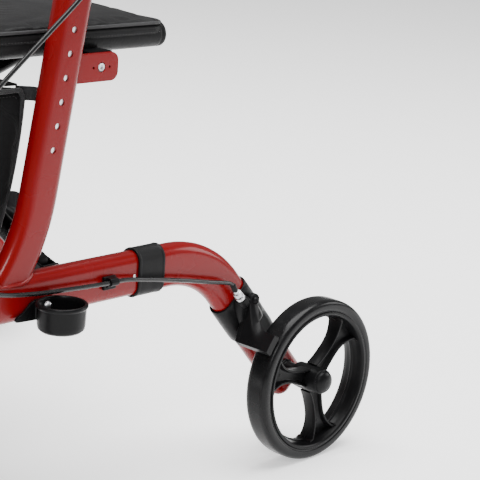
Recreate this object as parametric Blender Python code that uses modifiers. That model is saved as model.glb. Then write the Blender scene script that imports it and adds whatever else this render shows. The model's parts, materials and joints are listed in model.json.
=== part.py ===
"""Side-folding rollator walker: two oval-tube side frames joined by an X-brace.

Metres, +Z up. The walker rolls towards -Y, and +X is its left side. The origin is on
the floor, below the middle of the wheelbase. Every left-hand piece has a right-hand
twin, made by the same function with side = -1.
"""

import math

import bmesh
import bpy
from mathutils import Matrix, Vector

GAP = 0.0003               # running gap between pieces that touch
RUNNING = 0.0003           # radial clearance of a pin in its hole

WHEELBASE = 0.585
WHEEL_R = 0.1016           # 8 inch wheels
TYRE_WIDTH = 0.032
RIM_R = 0.0850
HUB_R = 0.0155
REAR_AXLE_R, FRONT_AXLE_R = 0.006, 0.0045
FRAME_X = 0.270            # middle plane of one side frame
REAR_WHEEL_X = FRAME_X + 0.056
AXLE_Y = WHEELBASE / 2

RAIL_Z = 0.266
RAIL_TALL = 0.052
RAIL_WIDE = 0.025
RAIL_WALL = 0.002
RAIL_BEND_R = 0.130
RAIL_BEND = math.radians(48)
RAIL_TAIL = 0.024          # tube past the rear axle
RAIL_OUT = RAIL_WIDE / 2

UPRIGHT_LONG = 0.045
UPRIGHT_WIDE = 0.024
UPRIGHT_WALL = 0.002
UPRIGHT_Y, UPRIGHT_Z = -0.088, 0.482     # a point on the upright's centreline
UPRIGHT_TOP = 0.825
UPRIGHT_STRAIGHT = 0.375   # height where the foot's bend starts
UPRIGHT_BEND_R = 0.220
RAKE = math.radians(10.6)
HOLE_R = 0.0035
HOLE_PITCH = 0.0254
HOLE_COUNT = 6
HOLE_TOP = 0.547
KNOB_Z = 0.622
KNOB_R, KNOB_LOBE = 0.0200, 0.0022

HEAD_Y = -0.3375           # steering axis, 45 mm ahead of the front axle
HEAD_R = 0.017
HEAD_BOTTOM, HEAD_TOP = 0.231, 0.303
STEM_R = 0.0075

POST_LONG = UPRIGHT_LONG - 2 * UPRIGHT_WALL - 2 * GAP
POST_WIDE = UPRIGHT_WIDE - 2 * UPRIGHT_WALL - 2 * GAP
POST_WALL = 0.0015
POST_BOTTOM, POST_TOP = 0.400, 0.863

SEAT_TUBE_X = FRAME_X - 0.038            # also the brace's foot pins
SEAT_TUBE_Z = 0.527
SEAT_TUBE_R = 0.0125
SEAT_BACK_Y, SEAT_FRONT_Y = 0.0925, -0.2075
HEM_R = 0.0145
TAB_Z, TAB_BOLT_Y, TAB_THICK = 0.503, -0.0275, 0.005
TAB_BOLT_R, TAB_HEAD_R = 0.0030, 0.0050
FOOT_Z = 0.285
ARM_A_Y, ARM_B_Y = -0.075, -0.093
ARM_TALL, ARM_THICK = 0.026, 0.015
ARM_WALL = 0.0016
FOOT_PIN_R = 0.004
PIVOT_R = 0.005

SLEEVE_NEAR, SLEEVE_FAR = 0.091, 0.149   # along the tube, from the rear axle
SLEEVE_WALL = 0.003
ARM_PIVOT, PIVOT_ACROSS = 0.128, 0.014
SHOE_ANGLE, SHOE_GAP = math.radians(145), 0.0035
ADJUSTER_OUT = RAIL_OUT + SLEEVE_WALL + 0.0075
CABLE_R = 0.0025
CABLE_STEP = 0.024
CABLE_OUT = 0.022          # from the frame's middle plane, where the cable runs
CLIP_OUT = 0.0265

GRIP_TILT = math.radians(4)
GRIP_START = Vector((0, 0.022, UPRIGHT_TOP + 0.0575))
GRIP_AXIS = Vector((0, math.cos(GRIP_TILT), -math.sin(GRIP_TILT)))
GRIP_LENGTH = 0.118
SPIGOT_R = 0.0085
LEVER_Y, LEVER_Z = 0.020, UPRIGHT_TOP + 0.023
LEVER_THICK = 0.011
LEVER_PIN_R = 0.0028

BAG_WIDE = FRAME_X - 0.023
BAG_TOP, BAG_BOTTOM = 0.485, 0.262
STRAP_Z, STRAP_TALL, STRAP_HALF = UPRIGHT_TOP - 0.0295, 0.045, 0.0065
STRAP_BOW, STRAP_Y = 0.105, -0.035

CUP_X, CUP_Y = FRAME_X + 0.0425, -0.1065
CUP_R, CUP_TOP, CUP_BOTTOM = 0.0265, 0.266, 0.235
CUP_BOLT_R, CUP_BOLT_Z = 0.0025, 0.2565

X_AXIS = Vector((1, 0, 0))
SIDE_VIEW = (math.pi / 2, 0, math.pi / 2)    # an outline drawn in x, y lies in Y, Z
ACROSS = (0, math.pi / 2, 0)                 # a turned piece's axis lies along X
ALONG_UPRIGHT = (-RAKE, 0, 0)                # local Z runs up the upright
SIDES = (("left", 1), ("right", -1))

for old in list(bpy.data.objects):
    bpy.data.objects.remove(old, do_unlink=True)


def collection(name):
    made = bpy.data.collections.new(name)
    bpy.context.scene.collection.children.link(made)
    return made


WALKER = collection("rollator_walker")
CUTTERS = collection("cutters")


def material(name, color, roughness, metallic=0.0):
    made = bpy.data.materials.new(name)
    made.use_nodes = True
    shader = made.node_tree.nodes["Principled BSDF"]
    shader.inputs["Base Color"].default_value = (*color, 1)
    shader.inputs["Roughness"].default_value = roughness
    shader.inputs["Metallic"].default_value = metallic
    return made


RED = material("red_paint", (0.36, 0.004, 0.006), 0.25)
BLACK = material("black_plastic", (0.012, 0.012, 0.013), 0.45)
BLACK_PAINT = material("black_paint", (0.010, 0.010, 0.011), 0.35)
RUBBER = material("rubber", (0.015, 0.015, 0.016), 0.75)
STEEL = material("steel", (0.62, 0.62, 0.64), 0.30, 1.0)
ALUMINIUM = material("aluminium", (0.72, 0.73, 0.75), 0.28, 1.0)
VINYL = material("seat_vinyl", (0.020, 0.020, 0.021), 0.50)
NYLON = material("bag_nylon", (0.016, 0.016, 0.017), 0.70)


# ---- modelling helpers -----------------------------------------------------------

def finish(obj, paint, smooth=40):
    """Gives a made mesh object its material, its shading and its collection."""
    obj.data.materials.clear()
    obj.data.materials.append(paint)
    obj.data.shade_smooth()
    obj.data.set_sharp_from_angle(angle=math.radians(smooth))
    return obj


def mesh_object(name, mesh, place=None, turn=None, where=WALKER):
    obj = bpy.data.objects.new(name, mesh)
    where.objects.link(obj)
    if place is not None:
        obj.location = place
    if turn is not None:
        obj.rotation_euler = turn
    return obj


def curve_to_mesh(curve, weld=1e-6):
    """Replaces a curve object by a mesh object of its shape, with welded caps."""
    bpy.context.view_layer.update()
    evaluated = curve.evaluated_get(bpy.context.evaluated_depsgraph_get())
    mesh = bpy.data.meshes.new_from_object(evaluated)
    shape = bmesh.new()
    shape.from_mesh(mesh)
    bmesh.ops.remove_doubles(shape, verts=shape.verts, dist=weld)
    bmesh.ops.recalc_face_normals(shape, faces=shape.faces)
    shape.to_mesh(mesh)
    shape.free()
    name, matrix, where = curve.name, curve.matrix_world.copy(), curve.users_collection[0]
    bpy.data.objects.remove(curve, do_unlink=True)
    obj = mesh_object(name, mesh, where=where)
    obj.matrix_world = matrix
    return obj


def outline_curve(name, outlines, where=WALKER):
    data = bpy.data.curves.new(name, "CURVE")
    data.dimensions = "2D"
    data.fill_mode = "BOTH"
    for outline in outlines:
        spline = data.splines.new("POLY")
        spline.points.add(len(outline) - 1)
        for point, (x, y) in zip(spline.points, outline):
            point.co = (x, y, 0, 1)
        spline.use_cyclic_u = True
    obj = bpy.data.objects.new(name, data)
    where.objects.link(obj)
    return obj


def plate(name, outlines, thickness, place=(0, 0, 0), turn=(0, 0, 0), where=WALKER):
    """A flat piece with the given outline, and holes for the further outlines."""
    curve = outline_curve(name, outlines, where)
    curve.data.extrude = thickness / 2
    curve.location, curve.rotation_euler = place, turn
    return curve_to_mesh(curve)


def swept(name, path, section, wall=None, place=(0, 0, 0), turn=(0, 0, 0), where=WALKER):
    """A tube along a path drawn in x, y: solid, or hollow with open ends."""
    profile = outline_curve(name + "_section", [section], CUTTERS)
    profile.data.fill_mode = "NONE"
    data = bpy.data.curves.new(name, "CURVE")
    data.dimensions = "3D"
    data.twist_mode = "Z_UP"
    data.bevel_mode = "OBJECT"
    data.bevel_object = profile
    data.use_fill_caps = wall is None
    spline = data.splines.new("POLY")
    spline.points.add(len(path) - 1)
    for point, (x, y) in zip(spline.points, path):
        point.co = (x, y, 0, 1)
    curve = bpy.data.objects.new(name, data)
    where.objects.link(curve)
    curve.location, curve.rotation_euler = place, turn
    tube = curve_to_mesh(curve)
    bpy.data.objects.remove(profile, do_unlink=True)
    if wall is not None:
        thicken = tube.modifiers.new("wall", "SOLIDIFY")
        thicken.thickness = wall
        thicken.offset = -1
        thicken.use_even_offset = True
    return tube


def turned(name, profile, steps, place=(0, 0, 0), turn=(0, 0, 0), ring=False, where=WALKER):
    """A turned piece about local Z. Its profile runs down the outer side, top to bottom."""
    mesh = bpy.data.meshes.new(name)
    edges = [(i, i + 1) for i in range(len(profile) - 1)]
    if ring:
        edges.append((len(profile) - 1, 0))
    mesh.from_pydata([(r, 0, z) for r, z in profile], edges, [])
    obj = mesh_object(name, mesh, place, turn, where)
    screw = obj.modifiers.new("turn", "SCREW")
    screw.steps = screw.render_steps = steps
    screw.use_merge_vertices = True
    screw.merge_threshold = 0.00001
    screw.use_smooth_shade = True
    return obj


def block(name, low, high, where=WALKER):
    """A box between two corners, in world axes."""
    low, high = Vector(low), Vector(high)
    shape = bmesh.new()
    bmesh.ops.create_cube(shape, size=1)
    bmesh.ops.scale(shape, vec=high - low, verts=shape.verts)
    mesh = bpy.data.meshes.new(name)
    shape.to_mesh(mesh)
    shape.free()
    return mesh_object(name, mesh, (low + high) / 2, where=where)


def rod(name, start, end, radius, steps=16, where=CUTTERS):
    """A plain cylinder from one point to another."""
    start, end = Vector(start), Vector(end)
    shape = bmesh.new()
    bmesh.ops.create_cone(shape, cap_ends=True, segments=steps, radius1=radius,
                          radius2=radius, depth=(end - start).length)
    mesh = bpy.data.meshes.new(name)
    shape.to_mesh(mesh)
    shape.free()
    obj = mesh_object(name, mesh, (start + end) / 2, where=where)
    obj.rotation_euler = (end - start).to_track_quat("Z", "Y").to_euler()
    return obj


def boolean(obj, tool, operation):
    tool.hide_render = True
    tool.display_type = "WIRE"
    if tool.name not in CUTTERS.objects:
        WALKER.objects.unlink(tool)
        CUTTERS.objects.link(tool)
    modifier = obj.modifiers.new(operation.lower(), "BOOLEAN")
    modifier.operation = operation
    modifier.solver = "EXACT"
    modifier.object = tool


def cut(obj, *tools):
    for tool in tools:
        boolean(obj, tool, "DIFFERENCE")


def join(obj, *tools):
    for tool in tools:
        boolean(obj, tool, "UNION")


def bevel(obj, width, segments=2, angle=40):
    modifier = obj.modifiers.new("edges", "BEVEL")
    modifier.width = width
    modifier.segments = segments
    modifier.limit_method = "ANGLE"
    modifier.angle_limit = math.radians(angle)


def arc(centre, radius, start, end, steps):
    """Points on an arc, both ends included. Angles in radians."""
    turn = (end - start) / steps
    return [(centre[0] + radius * math.cos(start + i * turn),
             centre[1] + radius * math.sin(start + i * turn)) for i in range(steps + 1)]


def circle(centre, radius, steps):
    return arc(centre, radius, 0, 2 * math.pi, steps)[:-1]


def stadium(long, short, steps=4):
    """A flat-oval outline, its long way along x."""
    radius = short / 2
    straight = long / 2 - radius
    right = arc((straight, 0), radius, -math.pi / 2, math.pi / 2, steps)
    left = arc((-straight, 0), radius, math.pi / 2, 3 * math.pi / 2, steps)
    return right + left


def stood_up(outline):
    """The same outline with its long way along y."""
    return [(-y, x) for x, y in outline]


# ---- places that follow from the driving dimensions ------------------------------

DOWN_TUBE = Vector((0, -math.cos(RAIL_BEND), math.sin(RAIL_BEND)))   # from the axle up
REAR_AXLE = Vector((0, AXLE_Y, WHEEL_R))
ADJUSTER_X = FRAME_X + ADJUSTER_OUT


def upright_y(z):
    """Where the upright's centreline is at a height above its bend."""
    return UPRIGHT_Y + (z - UPRIGHT_Z) * math.tan(RAKE)


def rail_path():
    drop = RAIL_Z - WHEEL_R - RAIL_BEND_R * (1 - math.cos(RAIL_BEND))
    reach = drop / math.tan(RAIL_BEND) + RAIL_BEND_R * math.sin(RAIL_BEND)
    centre = (AXLE_Y - reach, RAIL_Z - RAIL_BEND_R)
    bend = arc(centre, RAIL_BEND_R, math.pi / 2, math.pi / 2 - RAIL_BEND, 6)
    tail = REAR_AXLE - RAIL_TAIL * DOWN_TUBE
    return [(HEAD_Y + HEAD_R / 2, RAIL_Z), *bend, (tail.y, tail.z)]


def upright_path():
    top = (upright_y(UPRIGHT_TOP), UPRIGHT_TOP)
    start_y = upright_y(UPRIGHT_STRAIGHT)
    centre = (start_y - UPRIGHT_BEND_R * math.cos(RAKE),
              UPRIGHT_STRAIGHT + UPRIGHT_BEND_R * math.sin(RAKE))
    bend = arc(centre, UPRIGHT_BEND_R, -RAKE, -math.radians(39), 5)
    return [top, *bend]


def on_down_tube(along, across=0.0, x=0.0):
    """A point at a distance up the rear tube from the axle, and to its upper side."""
    upper = Vector((0, math.sin(RAIL_BEND), math.cos(RAIL_BEND)))
    return REAR_AXLE + along * DOWN_TUBE + across * upper + Vector((x, 0, 0))


# ---- side frame ------------------------------------------------------------------

def rail(name, side):
    x = side * FRAME_X
    tube = swept(name, rail_path(), stadium(RAIL_TALL, RAIL_WIDE), RAIL_WALL,
                 (x, 0, 0), SIDE_VIEW)
    head = rod(name + "_saddle", (x, HEAD_Y, 0.2), (x, HEAD_Y, 0.34), HEAD_R + GAP, 32)
    axle = rod(name + "_axle_hole", (x - 0.03, AXLE_Y, WHEEL_R), (x + 0.03, AXLE_Y, WHEEL_R),
               REAR_AXLE_R + RUNNING)
    cut(tube, head, axle)
    if side == 1:
        cut(tube, rod("cup_bolt_hole", (x, CUP_Y, CUP_BOLT_Z),
                      (x + 0.02, CUP_Y, CUP_BOLT_Z), CUP_BOLT_R + RUNNING, 12))
    return finish(tube, RED)


def rail_end_plug(name, side):
    """The closed, rounded end of the rear tube."""
    length = 0.010
    centre = REAR_AXLE - (RAIL_TAIL + GAP + length / 2) * DOWN_TUBE
    plug = plate(name, [stood_up(stadium(RAIL_TALL, RAIL_WIDE))], length,
                 (side * FRAME_X, centre.y, centre.z), (math.pi / 2 - RAIL_BEND, 0, 0))
    tip = plug.data
    outer = min(v.co.z for v in tip.vertices)
    edges = [e.index for e in tip.edges
             if all(abs(tip.vertices[i].co.z - outer) < 1e-6 for i in e.vertices)]
    weights = tip.attributes.new("bevel_weight_edge", "FLOAT", "EDGE")
    for index in edges:
        weights.data[index].value = 1.0
    rounding = plug.modifiers.new("rounding", "BEVEL")
    rounding.limit_method = "WEIGHT"
    rounding.width = 0.007
    rounding.segments = 2
    return finish(plug, RED)


def upright(name, side):
    x = side * FRAME_X
    tube = swept(name, upright_path(), stadium(UPRIGHT_LONG, UPRIGHT_WIDE), UPRIGHT_WALL,
                 (x, 0, 0), SIDE_VIEW)
    below = swept(name + "_saddle", [(-0.26, RAIL_Z), (0.0, RAIL_Z)],
                  stadium(RAIL_TALL + 2 * GAP, RAIL_WIDE + 2 * GAP), None,
                  (x, 0, 0), SIDE_VIEW, CUTTERS)
    cut(tube, below)
    heights = [HOLE_TOP - i * HOLE_PITCH * math.cos(RAKE) for i in range(HOLE_COUNT)]
    for index, z in enumerate([KNOB_Z, *heights]):
        y = upright_y(z)
        hole = rod(f"{name}_hole_{index}", (x + side * 0.006, y, z), (x + side * 0.02, y, z),
                   HOLE_R + (RUNNING if index == 0 else 0), 12)
        cut(tube, hole)
    return finish(tube, RED)


def head_tube(name, side):
    bore_top = 0.290
    profile = [(0, HEAD_TOP), (0.012, HEAD_TOP), (HEAD_R, HEAD_TOP - 0.004),
               (HEAD_R, HEAD_BOTTOM), (STEM_R + RUNNING, HEAD_BOTTOM),
               (STEM_R + RUNNING, bore_top), (0, bore_top)]
    return finish(turned(name, profile, 22, (side * FRAME_X, HEAD_Y, 0)), RED)


def seat_bracket(name, side):
    """The tab behind the upright that carries the seat saddle."""
    z, tall, rear, corner = TAB_Z, 0.031, -0.0035, 0.010
    low, high = z - tall / 2, z + tall / 2
    half = UPRIGHT_LONG / 2 / math.cos(RAKE) + GAP
    outline = [(upright_y(low) + half, low)]
    outline += arc((rear - corner, low + corner), corner, -math.pi / 2, 0, 4)
    outline += arc((rear - corner, high - corner), corner, 0, math.pi / 2, 4)
    outline += [(upright_y(high) + half, high)]
    holes = [circle((TAB_BOLT_Y, TAB_Z), TAB_BOLT_R + RUNNING, 12)]
    holes += [circle((TAB_BOLT_Y + d, TAB_Z), 0.0013, 8) for d in (-0.0115, 0.0115)]
    tab = plate(name, [outline, *holes], TAB_THICK, (side * FRAME_X, 0, 0), SIDE_VIEW)
    face = side * (FRAME_X + TAB_THICK / 2)
    sink = rod(name + "_sink", (face - side * 0.0030, TAB_BOLT_Y, TAB_Z),
               (face + side * 0.002, TAB_BOLT_Y, TAB_Z), TAB_HEAD_R + GAP, 16)
    cut(tab, sink)
    return finish(tab, RED)


def seat_saddle(name, side):
    """A plastic block with a U open upward, in which the seat's side tube rests."""
    outer = side * (FRAME_X - TAB_THICK / 2 - GAP)
    inner = side * (SEAT_TUBE_X - HEM_R - 0.0045)
    low = (min(inner, outer), -0.040, 0.496)
    high = (max(inner, outer), -0.008, 0.5190)
    body = block(name, low, high)
    x = side * SEAT_TUBE_X
    lap = HEM_R + 0.0005
    round_part = rod(name + "_cradle", (x, -0.06, SEAT_TUBE_Z), (x, 0.01, SEAT_TUBE_Z), lap, 24)
    mouth = block(name + "_mouth", (x - lap, -0.06, SEAT_TUBE_Z), (x + lap, 0.01, 0.56), CUTTERS)
    bolt = rod(name + "_bolt_hole", (outer - side * 0.0125, TAB_BOLT_Y, TAB_Z),
               (outer + side * 0.010, TAB_BOLT_Y, TAB_Z), TAB_BOLT_R + RUNNING, 12)
    cut(body, round_part, mouth, bolt)
    return finish(body, BLACK)


def bracket_bolt(name, side):
    """Socket bolt through the tab into the saddle; its head is sunk in the tab."""
    top = FRAME_X + TAB_THICK / 2 - GAP
    seat_face = FRAME_X + TAB_THICK / 2 - 0.0030 + GAP
    tip = FRAME_X - 0.0145
    profile = [(0, top), (TAB_HEAD_R - 0.001, top), (TAB_HEAD_R, top - 0.001),
               (TAB_HEAD_R, seat_face), (TAB_BOLT_R, seat_face), (TAB_BOLT_R, tip), (0, tip)]
    return finish(across_turned(name, profile, 12, side, TAB_BOLT_Y, TAB_Z), STEEL)


def across_turned(name, profile, steps, side, y, z, ring=False):
    """Turned about an axis along X; a profile's heights are distances from the middle."""
    if side == -1:
        profile = [(r, -x) for r, x in reversed(profile)]
    return turned(name, profile, steps, (0, y, z), ACROSS, ring)


def rail_band(name, side):
    """Rubber band round the rail, behind the cup and the clip."""
    outline = stadium(RAIL_TALL + 0.006, RAIL_WIDE + 0.006)
    inside = stadium(RAIL_TALL + 2 * GAP, RAIL_WIDE + 2 * GAP)
    turn = Matrix.Rotation(math.pi / 2, 4, "X").to_euler()
    band = plate(name, [stood_up(outline), stood_up(inside)], 0.040,
                 (side * FRAME_X, 0.0505, RAIL_Z), turn)
    return finish(band, RUBBER)


def brace_foot(name, side, arm_y):
    """Bracket on the rail's inner face: two cheeks and the pin the arm turns on."""
    wall = side * (FRAME_X - RAIL_OUT - GAP)
    pin_x = side * SEAT_TUBE_X
    cheek, gap = 0.004, ARM_THICK / 2 + GAP
    base_in = wall - side * 0.004
    base = block(name, (min(wall, base_in), arm_y - gap - cheek, 0.254),
                 (max(wall, base_in), arm_y + gap + cheek, 0.300))
    tip = pin_x - side * 0.011
    lap = base_in + side * 0.001
    for index, low in enumerate((arm_y - gap - cheek, arm_y + gap)):
        ear = block(f"{name}_cheek_{index}", (min(tip, lap), low, FOOT_Z - 0.013),
                    (max(tip, lap), low + cheek, FOOT_Z + 0.013))
        join(base, ear)
    pin = rod(name + "_pin", (pin_x, arm_y - gap - cheek - 0.002, FOOT_Z),
              (pin_x, arm_y + gap + cheek + 0.002, FOOT_Z), FOOT_PIN_R, 16)
    join(base, pin)
    return finish(base, BLACK_PAINT)


# ---- wheels ----------------------------------------------------------------------

def tyre(name, x, y):
    w, shoulder, bore = TYRE_WIDTH / 2, 0.005, RIM_R + GAP
    profile = [(WHEEL_R - shoulder, w), (WHEEL_R - 0.0015, w - 0.0015 - shoulder / 3),
               (WHEEL_R, w - shoulder), (WHEEL_R, -w + shoulder),
               (WHEEL_R - 0.0015, -w + 0.0015 + shoulder / 3), (WHEEL_R - shoulder, -w),
               (bore + 0.0012, -w), (bore, -w + 0.0015), (bore, w - 0.0015),
               (bore + 0.0012, w)]
    return finish(turned(name, profile, 32, (x, y, WHEEL_R), ACROSS, True), RUBBER)


def rim(name, x, y, bore, hub_half):
    """Moulded wheel: a ring, three flared spokes and a hub."""
    w, inner = 0.0140, 0.0800
    ring = turned(name, [(RIM_R, w), (RIM_R, -w), (inner, -w), (inner - 0.0018, 0),
                         (inner, w)], 32, (x, y, WHEEL_R), ACROSS, True)
    hub = turned(name + "_hub", [(HUB_R, hub_half), (HUB_R, -hub_half),
                                 (bore, -hub_half), (bore, hub_half)],
                 18, (x, y, WHEEL_R), ACROSS, True, CUTTERS)
    join(ring, hub)
    for index in range(3):
        angle = math.radians(45 + 120 * index)
        reach, waist = inner + 0.001, 0.0085
        half = [(HUB_R - 0.002, 0.0115), (0.030, waist), (0.056, waist + 0.001),
                (0.070, 0.0125), (reach, 0.0210)]
        outline = half + [(r, -h) for r, h in reversed(half)]
        spoke = plate(f"{name}_spoke_{index}", [outline], 0.013, (x, y, WHEEL_R),
                      SIDE_VIEW, CUTTERS)
        spoke.data.transform(Matrix.Rotation(angle, 4, "Z"))
        join(ring, spoke)
    return finish(ring, BLACK)


def rear_axle(name, side):
    """Stub axle: inner head, spacer collar between tube and hub, domed hub cap."""
    wheel = REAR_WHEEL_X
    hub_in, hub_out = wheel - 0.0215, wheel + 0.0205
    tube_in, tube_out = FRAME_X - RAIL_OUT, FRAME_X + RAIL_OUT
    cap = hub_out + GAP
    r = REAR_AXLE_R
    profile = [(0, cap + 0.0078), (0.0070, cap + 0.0070), (0.0118, cap + 0.0045),
               (0.0146, cap + 0.0012), (0.0150, cap), (r, cap), (r, hub_in - GAP),
               (0.0105, hub_in - GAP), (0.0105, tube_out + GAP), (r, tube_out + GAP),
               (r, tube_in - GAP), (0.0100, tube_in - GAP), (0.0090, tube_in - 0.006),
               (0, tube_in - 0.006)]
    return finish(across_turned(name, profile, 16, side, AXLE_Y, WHEEL_R), BLACK_PAINT)


def caster_fork(name, side):
    """Swivel stem, crown and two trailing legs."""
    x = side * FRAME_X
    leg_in, leg_thick, crown_low, crown_high = 0.0205, 0.005, 0.2125, 0.2275
    half = leg_in + leg_thick - 0.001
    crown = block(name, (x - half, HEAD_Y - 0.019, crown_low),
                  (x + half, HEAD_Y + 0.026, crown_high))
    end = 0.0130
    outline = [(HEAD_Y + 0.023, crown_high - 0.002), (HEAD_Y - 0.016, crown_high - 0.002),
               (HEAD_Y - 0.016, crown_low - 0.015)]
    outline += arc((-AXLE_Y, WHEEL_R), end, math.radians(215), math.radians(375), 8)
    outline += [(HEAD_Y + 0.023, crown_low - 0.010)]
    for index, sign in enumerate((-1, 1)):
        leg_x = x + sign * (leg_in + leg_thick / 2)
        leg = plate(f"{name}_leg_{index}", [outline], leg_thick, (leg_x, 0, 0),
                    SIDE_VIEW, CUTTERS)
        join(crown, leg)
    stem = turned(name + "_stem", [(0, 0.286), (STEM_R - 0.001, 0.286), (STEM_R, 0.285),
                                   (STEM_R, 0.2307), (0.0130, 0.2307), (0.0130, 0.222),
                                   (0, 0.222)], 16, (x, HEAD_Y, 0), where=CUTTERS)
    join(crown, stem)
    cut(crown, rod(name + "_axle_hole", (x - 0.04, -AXLE_Y, WHEEL_R),
                   (x + 0.04, -AXLE_Y, WHEEL_R), FRONT_AXLE_R + RUNNING))
    return finish(crown, BLACK_PAINT)


def front_axle(name, side):
    half, head, r = 0.0255 + GAP, 0.0045, FRONT_AXLE_R
    profile = [(0, half + head), (0.0060, half + head), (0.0080, half + 0.0030),
               (0.0080, half), (r, half), (r, -half), (0.0080, -half),
               (0.0080, -half - 0.0030), (0.0060, -half - head), (0, -half - head)]
    axle = turned(name, profile, 12, (side * FRAME_X, -AXLE_Y, WHEEL_R), ACROSS)
    return finish(axle, STEEL)


# ---- brakes ----------------------------------------------------------------------

def brake_sleeve(name, side):
    """Plastic sleeve clamped round the rear tube, with the shoe arm's pivot pin."""
    x = side * FRAME_X
    length = SLEEVE_FAR - SLEEVE_NEAR
    centre = on_down_tube((SLEEVE_NEAR + SLEEVE_FAR) / 2)
    outer = stood_up(stadium(RAIL_TALL + 2 * SLEEVE_WALL, RAIL_WIDE + 2 * SLEEVE_WALL))
    inner = stood_up(stadium(RAIL_TALL + 2 * GAP, RAIL_WIDE + 2 * GAP))
    sleeve = plate(name, [outer, inner], length, (x, centre.y, centre.z),
                   (math.pi / 2 - RAIL_BEND, 0, 0))
    face = FRAME_X + RAIL_OUT + SLEEVE_WALL
    pivot = on_down_tube(ARM_PIVOT, PIVOT_ACROSS)
    pin = rod(name + "_pin", (side * (face - 0.0015), pivot.y, pivot.z),
              (side * (face + 0.0115), pivot.y, pivot.z), 0.0035, 14)
    lug_far, lug_near = on_down_tube(SLEEVE_FAR), on_down_tube(SLEEVE_FAR - 0.005)
    middle = (lug_far + lug_near) / 2
    lug = plate(name + "_lug", [[(-0.002, -0.009), (0.0125, -0.009), (0.0155, -0.005),
                                 (0.0155, 0.005), (0.0125, 0.009), (-0.002, 0.009)]],
                0.005, (side * (face - 0.0005), middle.y, middle.z),
                (math.pi / 2 - RAIL_BEND, 0, 0))
    if side == -1:
        lug.data.transform(Matrix.Rotation(math.pi, 4, "Z"))
    screw_hole = rod(name + "_screw_hole", ADJUSTER_X * side * X_AXIS + on_down_tube(0.12),
                     ADJUSTER_X * side * X_AXIS + on_down_tube(0.18), 0.0030 + GAP, 12)
    join(sleeve, pin, lug)
    cut(sleeve, screw_hole)
    return finish(sleeve, BLACK)


def brake_arm(name, side):
    """Flat lever on the sleeve's pin, and the shoe that it carries over the tread."""
    pivot = on_down_tube(ARM_PIVOT, PIVOT_ACROSS)
    face = FRAME_X + RAIL_OUT + SLEEVE_WALL + 0.0015
    thick = 0.006
    shoe_r = WHEEL_R + SHOE_GAP
    shoe = [(AXLE_Y + r * math.cos(SHOE_ANGLE + a), WHEEL_R + r * math.sin(SHOE_ANGLE + a))
            for r, a in ((shoe_r + 0.010, 0.10), (shoe_r + 0.002, 0.12), (shoe_r, 0.10),
                         (shoe_r, 0.0), (shoe_r, -0.10), (shoe_r + 0.002, -0.12),
                         (shoe_r + 0.010, -0.10))]
    back = arc((pivot.y, pivot.z), 0.0085, math.radians(-17), math.radians(163), 8)
    lever = [*back, *shoe]
    x = side * (face + thick / 2)
    arm = plate(name, [lever, circle((pivot.y, pivot.z), 0.0035 + RUNNING, 14)], thick,
                (x, 0, 0), SIDE_VIEW)
    reach_in, reach_out = face + thick - 0.001, REAR_WHEEL_X + 0.014
    pad = plate(name + "_shoe", [shoe], reach_out - reach_in,
                (side * (reach_in + reach_out) / 2, 0, 0), SIDE_VIEW, CUTTERS)
    join(arm, pad)
    return finish(arm, BLACK)


def cable_adjuster(name, side):
    """Barrel adjuster screwed into the sleeve's lug; the cable's casing ends in it."""
    start = SLEEVE_FAR + GAP
    profile = [(0, 0.0160), (0.0030, 0.0160), (0.0036, 0.0150), (0.0036, 0.0115),
               (0.0055, 0.0110), (0.0055, 0.0030), (0.0045, 0.0025), (0.0045, 0),
               (0.0028, 0), (0.0028, -0.0085), (0, -0.0085)]
    base = on_down_tube(start) + side * ADJUSTER_X * X_AXIS
    barrel = turned(name, profile, 10, base, (math.pi / 2 - RAIL_BEND, 0, 0))
    return finish(barrel, STEEL)


CABLE_ROUTE = [  # from the brake housing to the barrel adjuster; x is out from the frame's middle
    (0.0175, -0.0135, 0.8310), (0.0215, -0.0060, 0.7850), (0.0265, -0.0060, 0.7250),
    (0.0350, -0.0200, 0.6700), (0.0372, -0.0500, 0.6250), (0.0375, -0.0850, 0.5900),
    (0.0365, -0.1300, 0.5520), (0.0350, -0.1820, 0.5090), (0.0330, -0.2320, 0.4640),
    (0.0300, -0.2680, 0.4180), (0.0270, -0.2780, 0.3680), (0.0245, -0.2600, 0.3250),
    (0.0225, -0.2200, 0.2960), (0.0220, -0.1750, 0.2810), (0.0220, -0.1300, 0.2740),
    (0.0220, -0.0800, 0.2705), (0.0220, -0.0300, 0.2680), (0.0220, 0.0030, 0.2680),
    (0.0220, 0.0500, 0.2675), (0.0228, 0.0950, 0.2650), (0.0234, 0.1350, 0.2540),
]


def smooth_route(points, step):
    """Points at an even step along a smooth curve through the route's own points."""
    ends = [2 * points[0] - points[1], *points, 2 * points[-1] - points[-2]]
    fine = []
    for a, b, c, d in zip(ends, ends[1:], ends[2:], ends[3:]):
        for i in range(20):
            t = i / 20
            fine.append(0.5 * ((2 * b) + (c - a) * t + (2 * a - 5 * b + 4 * c - d) * t * t
                               + (3 * b - a - 3 * c + d) * t ** 3))
    fine.append(points[-1])
    length = sum((q - p).length for p, q in zip(fine, fine[1:]))
    count = round(length / step)
    even, walked, wanted = [fine[0]], 0.0, length / count
    for p, q in zip(fine, fine[1:]):
        part = (q - p).length
        while walked + part >= wanted and len(even) < count:
            t = (wanted - walked) / part
            even.append(p.lerp(q, t))
            p, part, walked = even[-1], (q - even[-1]).length, 0.0
        walked += part
    return even + [fine[-1]]


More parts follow.
